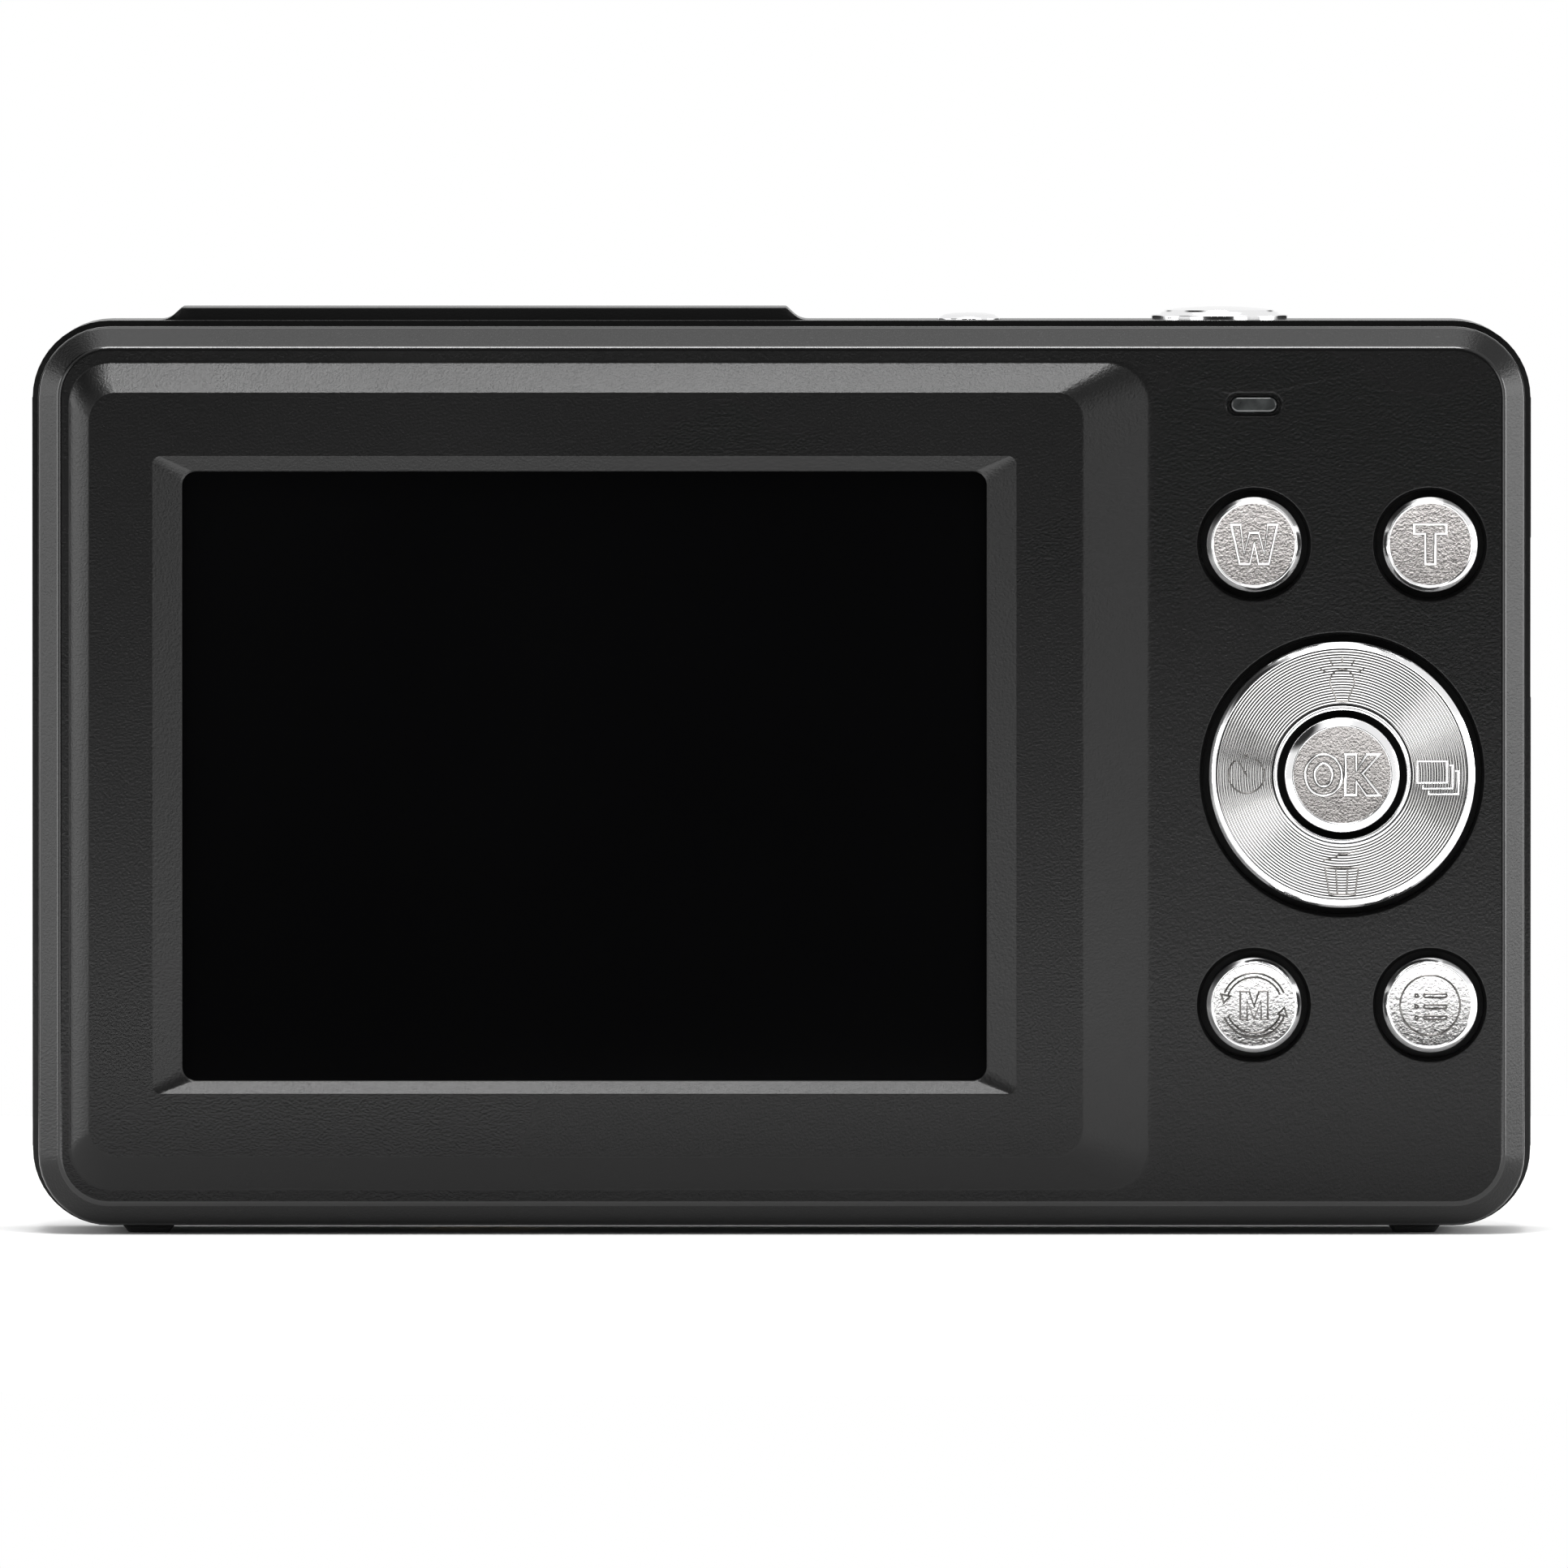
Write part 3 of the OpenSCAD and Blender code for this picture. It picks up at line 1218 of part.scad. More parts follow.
foot_y = [split_y + 0.6, front_y - front_bevel - foot_len - 0.3];
module feet() color([0.06, 0.06, 0.06]) {
    w = foot_w / 2;
    for (s = [-1, 1], y = foot_y) translate([s * foot_x, y + foot_len, 0]) rotate([90, 0, 0])
        linear_extrude(foot_len)
            polygon([[-w, bottom_z], [-w + foot_taper, 0], [w - foot_taper, 0], [w, bottom_z]]);
}

rear_shell();
front_shell();
left_side_trim();
right_side_trim();
lens_panel();
screen_window();
screen_gasket();
lcd_panel();
lcd_backlight();
lcd_tray();
lcd_ribbon();
chassis();
main_board();
board_chips();
key_switches();
wide_key();
tele_key();
mode_key();
menu_key();
four_way_pad();
pad_rocker();
ok_key();
status_light_pipe();
power_button();
shutter_ring();
shutter_button();
shutter_spring();
top_board();
top_switches();
lens_ring();
lens_window();
lens_hood();
lens_barrel();
front_lens();
rear_lens();
infrared_filter();
image_sensor();
sensor_board();
fill_light_window();
fill_light_led();
fill_light_board();
microphone();
speaker();
battery_bay();
battery();
battery_contacts();
battery_door();
door_hinge_pin();
door_latch();
card_socket();
memory_card();
usb_socket();
strap_pin();
tripod_bush();
board_screws();
case_screws();
feet();
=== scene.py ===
import math

import bmesh
import bpy
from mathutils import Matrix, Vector


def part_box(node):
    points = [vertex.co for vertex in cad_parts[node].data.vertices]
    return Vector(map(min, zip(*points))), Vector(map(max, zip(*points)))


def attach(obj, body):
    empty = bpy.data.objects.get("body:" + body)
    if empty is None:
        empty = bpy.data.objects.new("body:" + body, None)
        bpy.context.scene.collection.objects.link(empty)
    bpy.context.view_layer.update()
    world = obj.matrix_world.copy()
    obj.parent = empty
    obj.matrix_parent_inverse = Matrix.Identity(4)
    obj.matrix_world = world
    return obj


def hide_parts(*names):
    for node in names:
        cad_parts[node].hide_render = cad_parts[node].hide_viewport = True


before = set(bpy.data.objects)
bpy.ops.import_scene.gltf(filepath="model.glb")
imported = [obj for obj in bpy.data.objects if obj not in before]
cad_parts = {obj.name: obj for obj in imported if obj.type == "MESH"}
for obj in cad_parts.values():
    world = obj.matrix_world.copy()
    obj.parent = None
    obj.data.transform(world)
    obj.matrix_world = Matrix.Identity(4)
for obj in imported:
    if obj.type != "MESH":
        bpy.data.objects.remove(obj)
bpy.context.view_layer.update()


# ---------- camera, table and studio light ----------
# The eye stands straight behind the object, a little above it and far enough away for a flat view. The table
# is a round white sheet. Soft boxes hang overhead and stand at the sides, in a pale room.
MM = 0.001
view_distance = 2.4
view_width = 0.0966
view_middle_x = 0.15 * MM
view_middle_z = 27.85 * MM
eye_height = 85 * MM
rear_face_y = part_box("rear_shell")[0].y

eye = bpy.data.cameras.new("eye")
eye.sensor_width = 36
eye.lens = eye.sensor_width * view_distance / view_width
eye.clip_start = 0.01
eye_stand = bpy.data.objects.new("eye", eye)
eye_stand.location = (view_middle_x, rear_face_y - view_distance, eye_height)
eye_stand.rotation_euler = (math.radians(90) - math.atan2(eye_height - view_middle_z, view_distance), 0, 0)
bpy.context.scene.collection.objects.link(eye_stand)
bpy.context.scene.camera = eye_stand
bpy.context.scene.view_settings.view_transform = "Standard"


def soft_box(name, place, aim, width, height, power):
    """A rectangular soft box that stands at place and faces the point aim, in metres and watts."""
    lamp = bpy.data.lights.new(name, "AREA")
    lamp.shape = "RECTANGLE"
    lamp.size = width
    lamp.size_y = height
    lamp.energy = power
    stand = bpy.data.objects.new(name, lamp)
    stand.location = place
    stand.rotation_euler = (Vector(aim) - Vector(place)).to_track_quat("-Z", "Y").to_euler()
    stand.visible_camera = False
    bpy.context.scene.collection.objects.link(stand)


soft_box("front_top_box", (0, -0.28, 0.56), (0, 0, 0.02), 0.24, 0.16, 2.7)
soft_box("overhead_box", (0, 0.0, 0.7), (0, 0, 0), 0.5, 0.4, 1.5)
soft_box("left_box", (-0.6, -0.02, 0.12), (0, 0, 0.03), 0.3, 0.3, 1.15)
soft_box("right_box", (0.6, -0.02, 0.12), (0, 0, 0.03), 0.3, 0.3, 2.0)
soft_box("left_fill", (-0.41, -0.54, 0.12), (0, 0, 0.03), 0.26, 0.3, 0.6)
soft_box("right_fill", (0.41, -0.54, 0.12), (0, 0, 0.03), 0.26, 0.3, 0.6)
soft_box("table_box", (0, -0.088, 0.002), (0, -0.0881, 1), 0.16, 0.08, 0.128)

# The room is dark behind the eye and where three flags give the bright metal its edges. A row holds the
# direction, the angles where the dark starts and is full, and the light outside and inside it.
dark_patches = (
    ((0, -1, 0), 58, 10, 0.95, 0.02),
    ((-0.68, -0.25, 0.69), 24, 12, 1, 0.03),
    ((-0.71, 0.71, 0), 28, 18, 1, 0.03),
    ((0.71, 0.71, 0), 28, 18, 1, 0.03))
room = bpy.data.worlds.new("pale_room")
room.use_nodes = True
room_tree = room.node_tree
walls = room_tree.nodes["Background"]
walls.inputs["Color"].default_value = (1, 1, 1, 1)
toward = room_tree.nodes.new("ShaderNodeTexCoord")
brightness = None
for way, outer, inner, pale, dark in dark_patches:
    facing = room_tree.nodes.new("ShaderNodeVectorMath")
    facing.operation = "DOT_PRODUCT"
    facing.inputs[1].default_value = Vector(way).normalized()
    room_tree.links.new(toward.outputs["Generated"], facing.inputs[0])
    shaded = room_tree.nodes.new("ShaderNodeMapRange")
    shaded.interpolation_type = "SMOOTHSTEP"
    shaded.inputs["From Min"].default_value = math.cos(math.radians(outer))
    shaded.inputs["From Max"].default_value = math.cos(math.radians(inner))
    shaded.inputs["To Min"].default_value = pale
    shaded.inputs["To Max"].default_value = dark
    room_tree.links.new(facing.outputs["Value"], shaded.inputs["Value"])
    wall_light = room_tree.nodes.new("ShaderNodeMath")
    wall_light.operation = "MULTIPLY"
    wall_light.inputs[0].default_value = 1
    if brightness is not None:
        room_tree.links.new(brightness, wall_light.inputs[0])
    room_tree.links.new(shaded.outputs["Result"], wall_light.inputs[1])
    brightness = wall_light.outputs["Value"]
room_tree.links.new(brightness, walls.inputs["Strength"])

# White paper is all that the eye sees of the room
paper = room_tree.nodes.new("ShaderNodeBackground")
paper.inputs["Color"].default_value = (1, 1, 1, 1)
seen = room_tree.nodes.new("ShaderNodeLightPath")
choice = room_tree.nodes.new("ShaderNodeMixShader")
room_tree.links.new(seen.outputs["Is Camera Ray"], choice.inputs["Fac"])
room_tree.links.new(walls.outputs["Background"], choice.inputs[1])
room_tree.links.new(paper.outputs["Background"], choice.inputs[2])
room_tree.links.new(choice.outputs["Shader"], room_tree.nodes["World Output"].inputs["Surface"])
bpy.context.scene.world = room

table_reach = 0.24
table_middle_y = -0.02
table_mesh = bpy.data.meshes.new("table")
table_form = bmesh.new()
bmesh.ops.create_circle(table_form, cap_ends=True, radius=table_reach, segments=96)
bmesh.ops.translate(table_form, vec=(0, table_middle_y, 0), verts=table_form.verts)
table_form.to_mesh(table_mesh)
table_form.free()
table = bpy.data.objects.new("table", table_mesh)
bpy.context.scene.collection.objects.link(table)

table_paper = bpy.data.materials.new("table_paper")
table_paper.use_nodes = True
sheet_shader = table_paper.node_tree.nodes["Principled BSDF"]
sheet_shader.inputs["Base Color"].default_value = (0.9, 0.9, 0.9, 1)
sheet_shader.inputs["Roughness"].default_value = 0.8
table_mesh.materials.append(table_paper)


# ---------- rear shell ----------
# The back of the case, one ABS moulding with a spark-eroded grain: a bevelled rim, the flat with the keys'
# holes, and the raised surround of the display with its sloped recess. Screws hold it from inside.
def grey(level):
    """Neutral colour of one brightness."""
    return (level, level, level)


def finish(name, dark, light, roughness, grain=0.2, depth=0.0, metal=0.0, patch=12.0, spread=0.06, **sockets):
    """Material whose colour drifts between two shades, over a surface with a fine grain.
    grain is the width of one grain, depth its height and patch the width of one drift, in millimetres."""
    made = bpy.data.materials.new(name)
    made.use_nodes = True
    tree = made.node_tree
    shader = tree.nodes["Principled BSDF"]
    shader.inputs["Metallic"].default_value = metal
    for socket, value in sockets.items():
        shader.inputs[socket.replace("_", " ")].default_value = value
    place = tree.nodes.new("ShaderNodeTexCoord")
    drift = tree.nodes.new("ShaderNodeTexNoise")
    drift.inputs["Scale"].default_value = 1 / (patch * MM)
    drift.inputs["Detail"].default_value = 6
    tree.links.new(place.outputs["Object"], drift.inputs["Vector"])
    shades = tree.nodes.new("ShaderNodeValToRGB")
    for stop, position, shade in zip(shades.color_ramp.elements, (0.3, 0.7), (dark, light)):
        stop.position = position
        stop.color = (*shade, 1)
    tree.links.new(drift.outputs["Fac"], shades.inputs["Fac"])
    tree.links.new(shades.outputs["Color"], shader.inputs["Base Color"])
    wear = tree.nodes.new("ShaderNodeMapRange")
    wear.inputs["To Min"].default_value = max(0.01, roughness - spread)
    wear.inputs["To Max"].default_value = min(1.0, roughness + spread)
    tree.links.new(drift.outputs["Fac"], wear.inputs["Value"])
    tree.links.new(wear.outputs["Result"], shader.inputs["Roughness"])
    if depth:
        pits = tree.nodes.new("ShaderNodeTexNoise")
        pits.inputs["Scale"].default_value = 1 / (grain * MM)
        pits.inputs["Detail"].default_value = 3
        pits.inputs["Roughness"].default_value = 0.6
        tree.links.new(place.outputs["Object"], pits.inputs["Vector"])
        relief = tree.nodes.new("ShaderNodeBump")
        relief.inputs["Strength"].default_value = 1
        relief.inputs["Distance"].default_value = depth * MM
        tree.links.new(pits.outputs["Fac"], relief.inputs["Height"])
        tree.links.new(relief.outputs["Normal"], shader.inputs["Normal"])
    return made


def eased(corners, steps=4):
    """Outline with rounded corners: a corner is (a, b), or (a, b, radius) where it is rounded."""
    line = []
    for i, corner in enumerate(corners):
        here = Vector(corner[:2])
        if len(corner) == 2:
            line.append((here.x, here.y))
            continue
        before = (here - Vector(corners[i - 1][:2])).normalized()
        after = (Vector(corners[(i + 1) % len(corners)][:2]) - here).normalized()
        back = corner[2] * math.tan(before.angle(after) / 2)
        start = here - before * back
        end = here + after * back
        for k in range(steps + 1):
            t = k / steps
            point = start.lerp(here, t).lerp(here.lerp(end, t), t)
            line.append((point.x, point.y))
    return line


def round_outline(x0, x1, z0, z1, r, y, steps=10):
    """Closed loop of points round a rectangle with round corners that faces along Y."""
    loop = []
    corners = ((x1 - r, z0 + r, 270), (x1 - r, z1 - r, 0), (x0 + r, z1 - r, 90), (x0 + r, z0 + r, 180))
    for cx, cz, turn in corners:
        for k in range(steps + 1):
            a = math.radians(turn + 90 * k / steps)
            loop.append((cx + r * math.cos(a), y, cz + r * math.sin(a)))
    return loop


def ring_outline(x, z, r, y, steps=72):
    """Closed loop of points round a circle that faces along Y."""
    turns = [2 * math.pi * k / steps for k in range(steps)]
    return [(x + r * math.cos(a), y, z + r * math.sin(a)) for a in turns]


def skin(form, loops, polished=()):
    """Joins loops of the same number of points, each to the next, and returns their rows of corners.
    The bands whose numbers are in polished take the second finish."""
    rows = [[form.verts.new(p) for p in loop] for loop in loops]
    for k, (near, far) in enumerate(zip(rows, rows[1:])):
        for i in range(len(near)):
            j = (i + 1) % len(near)
            form.faces.new((near[i], near[j], far[j], far[i])).material_index = 1 if k in polished else 0
    return rows


def fill_flat(form, rows):
    """Fills the flat area between an outer row of corners and the rows of the holes in it."""
    edges = []
    for row in rows:
        edges += [form.edges.get((row[i - 1], row[i])) or form.edges.new((row[i - 1], row[i]))
                  for i in range(len(row))]
    bmesh.ops.triangle_fill(form, use_beauty=True, edges=edges)


def piece(name, form, *finishes, sharp=32):
    """Object made from a form drawn in millimetres, smooth up to the angle sharp."""
    bmesh.ops.recalc_face_normals(form, faces=form.faces)
    bmesh.ops.scale(form, vec=(MM, MM, MM), verts=form.verts)
    mesh = bpy.data.meshes.new(name)
    form.to_mesh(mesh)
    form.free()
    mesh.shade_smooth()
    mesh.set_sharp_from_angle(angle=math.radians(sharp))
    for made in finishes:
        mesh.materials.append(made)
    thing = bpy.data.objects.new(name, mesh)
    bpy.context.scene.collection.objects.link(thing)
    normals = thing.modifiers.new("even_normals", "WEIGHTED_NORMAL")
    normals.keep_sharp = True
    return thing


def box_mm(node):
    """Lowest and highest corner of a CAD node, in millimetres."""
    low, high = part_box(node)
    return low / MM, high / MM


charcoal = finish("charcoal_plastic", grey(0.003), grey(0.0035), 0.28, grain=0.16, depth=0.022, patch=30,
                  Specular_IOR_Level=0.245)
polished_edge = finish("polished_edge", grey(0.003), grey(0.0035), 0.13, grain=0.16, depth=0.004, patch=30,
                       Specular_IOR_Level=0.5)

rear_low, rear_high = box_mm("rear_shell")
surround_y = rear_low.y
surround_height = 1.2
flat_y = surround_y + surround_height
split_y = box_mm("front_shell")[0].y
inside_y = box_mm("lcd_tray")[0].y
glass_y = box_mm("screen_window")[0].y
rim_r = 4.35
rim_bevel = 1.3
shell_wall = 1.6
hole_lip = 0.2


def rim_outline(inset, y):
    """The case's outline seen from behind, moved in by inset."""
    return round_outline(rear_low.x + inset, rear_high.x - inset, rear_low.z + inset, rear_high.z - inset,
                         rim_r - inset, y)


shell_form = bmesh.new()
rim_profile = eased([
    (shell_wall, inside_y), (shell_wall, split_y), (0.1, split_y), (0, split_y - 0.1),
    (0, flat_y + rim_bevel, 0.35), (rim_bevel, flat_y, 0.42), (rim_bevel + 0.25, flat_y)], 6)
rim_edges = (*range(4, 10), *range(11, 17))  # the bands of the two rounded edges, which are polished
rim_rows = skin(shell_form, [rim_outline(inset, y) for inset, y in rim_profile], rim_edges)

# Display surround: each side slopes at its own angle, and the left one has a crease
margin_left, margin_bottom, margin_top = 1.9, 2.2, 2.15
surround_width = 66.75
surround_low = Vector((rear_low.x + margin_left, rear_low.z + margin_bottom))
surround_high = Vector((rear_low.x + margin_left + surround_width, rear_high.z - margin_top))
slope_left, slope_right, slope_bottom, slope_top = 1.25, 4.25, 2.0, 1.9
crease = 0.45
crease_rise = 0.5
surround_r, surround_face_r = 2.6, 1.7


def surround_outline(rise, y):
    """Outline of the surround's slope at rise, from 0 at the flat to 1 at the face."""
    above = max(rise - crease_rise, 0) / (1 - crease_rise)
    left = crease * min(rise / crease_rise, 1) + (slope_left - crease) * above
    return round_outline(surround_low.x + left, surround_high.x - slope_right * rise,
                         surround_low.y + slope_bottom * rise, surround_high.y - slope_top * rise,
                         surround_r + (surround_face_r - surround_r) * rise, y)


slope_profile = eased([(-0.06, flat_y), (0.03, flat_y, 0.12), (crease_rise, (flat_y + surround_y) / 2),
                       (1, surround_y, 0.07), (1.1, surround_y)], 5)
surround_rows = skin(shell_form, [surround_outline(rise, y) for rise, y in slope_profile])

# Recess round the screen, its lip and the pocket that the window is glued into
glass_low, glass_high = box_mm("screen_window")
glue_gap = 0.05
window_rim = 1.7
window_r = 0.85
recess_slope_x, recess_slope_bottom, recess_slope_top = 1.83, 0.8, 0.95
recess_depth = 0.5
recess_mouth_r = 0.5


def recess_outline(rise, y):
    """Outline of the recess's slope at rise, from 0 at the window to 1 at the surround's face."""
    return round_outline(glass_low.x + window_rim - recess_slope_x * rise,
                         glass_high.x - window_rim + recess_slope_x * rise,
                         glass_low.z + window_rim - recess_slope_bottom * rise,
                         glass_high.z - window_rim + recess_slope_top * rise,
                         window_r + (recess_mouth_r - window_r) * rise, y)


def pocket_outline(y):
    """Outline of the pocket that the window is glued into, behind the recess."""
    return round_outline(glass_low.x - glue_gap, glass_high.x + glue_gap, glass_low.z - glue_gap,
                         glass_high.z + glue_gap, window_r, y)


recess_profile = eased([(1.08, surround_y), (1, surround_y, 0.06), (0.06, surround_y + recess_depth, 0.04),
                        (0, surround_y + recess_depth + 0.06), (0, glass_y)], 4)
recess_rows = skin(shell_form, [recess_outline(rise, y) for rise, y in recess_profile]
                   + [pocket_outline(glass_y), pocket_outline(inside_y)])
face_edge, recess_mouth = surround_rows[-1], recess_rows[0]
for i in range(len(face_edge)):
    j = (i + 1) % len(face_edge)
    shell_form.faces.new((face_edge[i], face_edge[j], recess_mouth[j], recess_mouth[i]))

# Holes for the keys, the pad and the status light, each with a soft lip
key_gap = 0.4
key_flange = 0.75
pad_flange = 1.1
mouths = []
small_keys = ("wide_key", "tele_key", "mode_key", "menu_key")
hole_users = [(key, key_flange) for key in small_keys] + [("four_way_pad", pad_flange)]
for node, flange in hole_users:
    low, high = box_mm(node)
    middle = (low + high) / 2
    hole_r = (high.x - low.x) / 2 - flange + key_gap
    lip = eased([(hole_r + hole_lip + 0.1, flat_y), (hole_r + hole_lip, flat_y, 0.1),
                 (hole_r, flat_y + hole_lip, 0.1), (hole_r, inside_y)])
    mouths.append(skin(shell_form, [ring_outline(middle.x, middle.z, r, y) for r, y in lip]))

light_low, light_high = box_mm("status_light_pipe")
light_middle = (light_low + light_high) / 2
light_len, light_tall = 3.4, 1.4
pipe_len, pipe_tall = 2.85, 0.95
light_sink = 0.35


def light_outline(length, tall, y):
    """Round-ended slot of the status light."""
    return round_outline(light_middle.x - length / 2, light_middle.x + length / 2, light_middle.z - tall / 2,
                         light_middle.z + tall / 2, tall / 2 - 0.001, y, 8)


slot_profile = [(0.16, flat_y), (0.06, flat_y + 0.02), (0, flat_y + 0.09), (0, flat_y + light_sink)]
slot_rows = [light_outline(light_len + 2 * out, light_tall + 2 * out, y) for out, y in slot_profile]
slot_rows += [light_outline(pipe_len + 2 * glue_gap, pipe_tall + 2 * glue_gap, y)
              for y in (flat_y + light_sink, inside_y)]
mouths.append(skin(shell_form, slot_rows))
fill_flat(shell_form, [rim_rows[-1], surround_rows[0]] + [rows[0] for rows in mouths])
fill_flat(shell_form, [rim_rows[0], recess_rows[-1]] + [rows[-1] for rows in mouths])

rear_cover = piece("rear_shell_moulding", shell_form, charcoal, polished_edge)
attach(rear_cover, "root")
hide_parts("rear_shell")


# ---------- screen window ----------
# The acrylic window over the display, printed black behind and glued into the pocket of the rear shell.
# Its edge is slightly rounded and it is polished flat.
black_gloss = finish("screen_black", (0.0006, 0.0006, 0.0007), (0.0010, 0.0010, 0.0011), 0.035, grain=3.0,
                     depth=0.0002, patch=40, spread=0.01, Specular_IOR_Level=0.35)
window_form = bmesh.new()
window_edge = eased([(0.3, glass_y), (0, glass_y, 0.08), (0, glass_high.y, 0.05), (0.3, glass_high.y)], 3)
window_rows = skin(window_form, [
    round_outline(glass_low.x + inset, glass_high.x - inset, glass_low.z + inset, glass_high.z - inset,
                  window_r - 0.5 * inset, y) for inset, y in window_edge])
fill_flat(window_form, [window_rows[0]])
fill_flat(window_form, [window_rows[-1]])
window = piece("screen_window_acrylic", window_form, black_gloss)
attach(window, "root")
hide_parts("screen_window")


# ---------- small keys ----------
# Four round keys of plated ABS: a polished bevel round a grained disc, with the legend moulded in raised
# outline. Each has a flange behind the wall that keeps it in, and a stem that presses its switch.
def turned(form, profile, middle, finish_of=None, steps=96, upright=False):
    """Turns a profile of (radius, depth) points round middle, about Y, or about Z where it is upright.
    A radius of 0 is one point, and finish_of picks the finish of the band between two profile points."""
    rows = []
    for r, depth in profile:
        turns = [2 * math.pi * k / steps for k in range(steps if r > 0 else 1)]
        if upright:
            loop = [(middle[0] + r * math.cos(a), middle[1] + r * math.sin(a), depth) for a in turns]
        else:
            loop = [(middle[0] + r * math.cos(a), depth, middle[1] + r * math.sin(a)) for a in turns]
        rows.append([form.verts.new(p) for p in loop])
    for k, (near, far) in enumerate(zip(rows, rows[1:])):
        number = finish_of(profile[k], profile[k + 1]) if finish_of else 0
        for i in range(steps):
            j = (i + 1) % steps
            corners = [near[i % len(near)], near[j % len(near)], far[j % len(far)], far[i % len(far)]]
            form.faces.new(list(dict.fromkeys(corners))).material_index = number
    return rows


def raised_line(form, points, width, foot, crest, closed=True, number=0, flank=0):
    """Rounded ridge along a line of (x, z) points, from the depth foot to the depth crest.
    number is the finish of its crest and flank that of its sides, which the callers give a painted shade."""
    count = len(points)
    half = ((0.5, 0), (0.5, 0.1), (0.32, 0.3), (0.12, 0.88))
    shares = [(-s, share) for s, share in half] + [(0, 1)] + list(half[::-1])
    section = [(s * width, foot + (crest - foot) * share) for s, share in shares]
    rows = []
    for i, point in enumerate(points):
        here = Vector(point)
        before = Vector(points[i - 1])
        after = Vector(points[(i + 1) % count])
        if not closed and i == 0:
            before = here * 2 - after
        if not closed and i == count - 1:
            after = here * 2 - before
        into = (here - before).normalized()
        out = (after - here).normalized()
        across = Vector((-(into + out).y, (into + out).x)).normalized()
        across /= max(0.45, across.dot(Vector((-into.y, into.x))))
        rows.append([form.verts.new((here.x + across.x * s, y, here.y + across.y * s)) for s, y in section])
    size = len(section)
    for i in range(count if closed else count - 1):
        near, far = rows[i], rows[(i + 1) % count]
        for k in range(size):
            m = (k + 1) % size
            band = form.faces.new((near[k], near[m], far[m], far[k]))
            band.material_index = number if 2 <= k <= 5 else flank
    if not closed:
        form.faces.new(rows[0]).material_index = number
        form.faces.new(rows[-1][::-1]).material_index = number


def arc(x, z, r, start, end, steps):
    """Points (x, z) along an arc between two angles in degrees."""
    turns = [math.radians(start + (end - start) * k / steps) for k in range(steps + 1)]
    return [(x + r * math.cos(a), z + r * math.sin(a)) for a in turns]


chrome = finish("satin_silver", (0.86, 0.86, 0.87), grey(0.90), 0.09, grain=0.7, depth=0.0012, metal=1.0,
                patch=3, spread=0.03)
grained_silver = finish("grained_satin_silver", (0.31, 0.296, 0.289), (0.37, 0.355, 0.347), 0.18,
                        grain=0.15, depth=0.06, metal=1.0, patch=0.6, spread=0.06)
grained_chrome = finish("grained_chrome", (0.56, 0.555, 0.55), (0.62, 0.615, 0.61), 0.20, grain=0.2,
                        depth=0.02, metal=1.0, patch=0.6, spread=0.06)
legend_silver = finish("legend_silver", grey(0.92), grey(0.96), 0.17, grain=0.3, depth=0.001, metal=1.0,
                       patch=0.5, spread=0.04)

# The sides of a key below its bevel are bare plastic, and the sides of each raised line carry a painted shade
# That dark bare plastic also paints the shade that falls in the gap round each key
bare_plastic_and_gap_shade = finish("unplated_plastic_and_gap_shade", grey(0.004), grey(0.007), 0.5, grain=0.2, depth=0.01, patch=2,
                      Specular_IOR_Level=0.2)
ridge_flank_painted_shade = finish("ridge_flank_painted_shade", (0.06, 0.057, 0.054), (0.10, 0.096, 0.092), 0.3, grain=0.2, depth=0.004,
                    metal=1.0, patch=0.5)
# A grey crest is a painted shade: a darkened copy of the bright legend crest
ridge_crest_painted_shade = finish("ridge_crest_painted_shade", (0.13, 0.125, 0.12), (0.19, 0.184, 0.178), 0.28, grain=0.2, depth=0.004,
                    metal=1.0, patch=0.5)

key_bevel = 0.34
key_face_sink = 0.06
key_flange_t = 0.6
ridge_widths = {"wide_key": 0.2, "tele_key": 0.2, "mode_key": 0.14, "menu_key": 0.14}
stem_r = 1.2


def letter_w(x, z):
    """Outline of the wide legend: 2.84 wide and 2.42 tall."""
    w, h, arm, foot = 1.42, 1.21, 0.57, 0.62
    return [(x - w, z + h), (x - w + arm, z + h), (x - 0.62, z - h + 0.62), (x - 0.29, z + h - 0.5),
            (x + 0.29, z + h - 0.5), (x + 0.62, z - h + 0.62), (x + w - arm, z + h), (x + w, z + h),
            (x + w - 0.52, z - h), (x + w - 0.52 - foot, z - h), (x, z + 0.12), (x - w + 0.52 + foot, z - h),
            (x - w + 0.52, z - h)]


def letter_t(x, z):
    """Outline of the tele legend."""
    w, h, bar, stem = 0.98, 1.225, 0.57, 0.3
    return [(x - w, z + h), (x + w, z + h), (x + w, z + h - bar), (x + stem, z + h - bar), (x + stem, z - h),
            (x - stem, z - h), (x - stem, z + h - bar), (x - w, z + h - bar)]


def letter_m(x, z):
    """Outline of the mode legend."""
    w, h, leg = 0.85, 0.86, 0.42
    return [(x - w, z - h), (x - w, z + h), (x - w + leg + 0.12, z + h), (x, z - 0.05),
            (x + w - leg - 0.12, z + h), (x + w, z + h), (x + w, z - h), (x + w - leg, z - h),
            (x + w - leg, z + 0.3), (x, z - h), (x - w + leg, z + 0.3), (x - w + leg, z - h)]


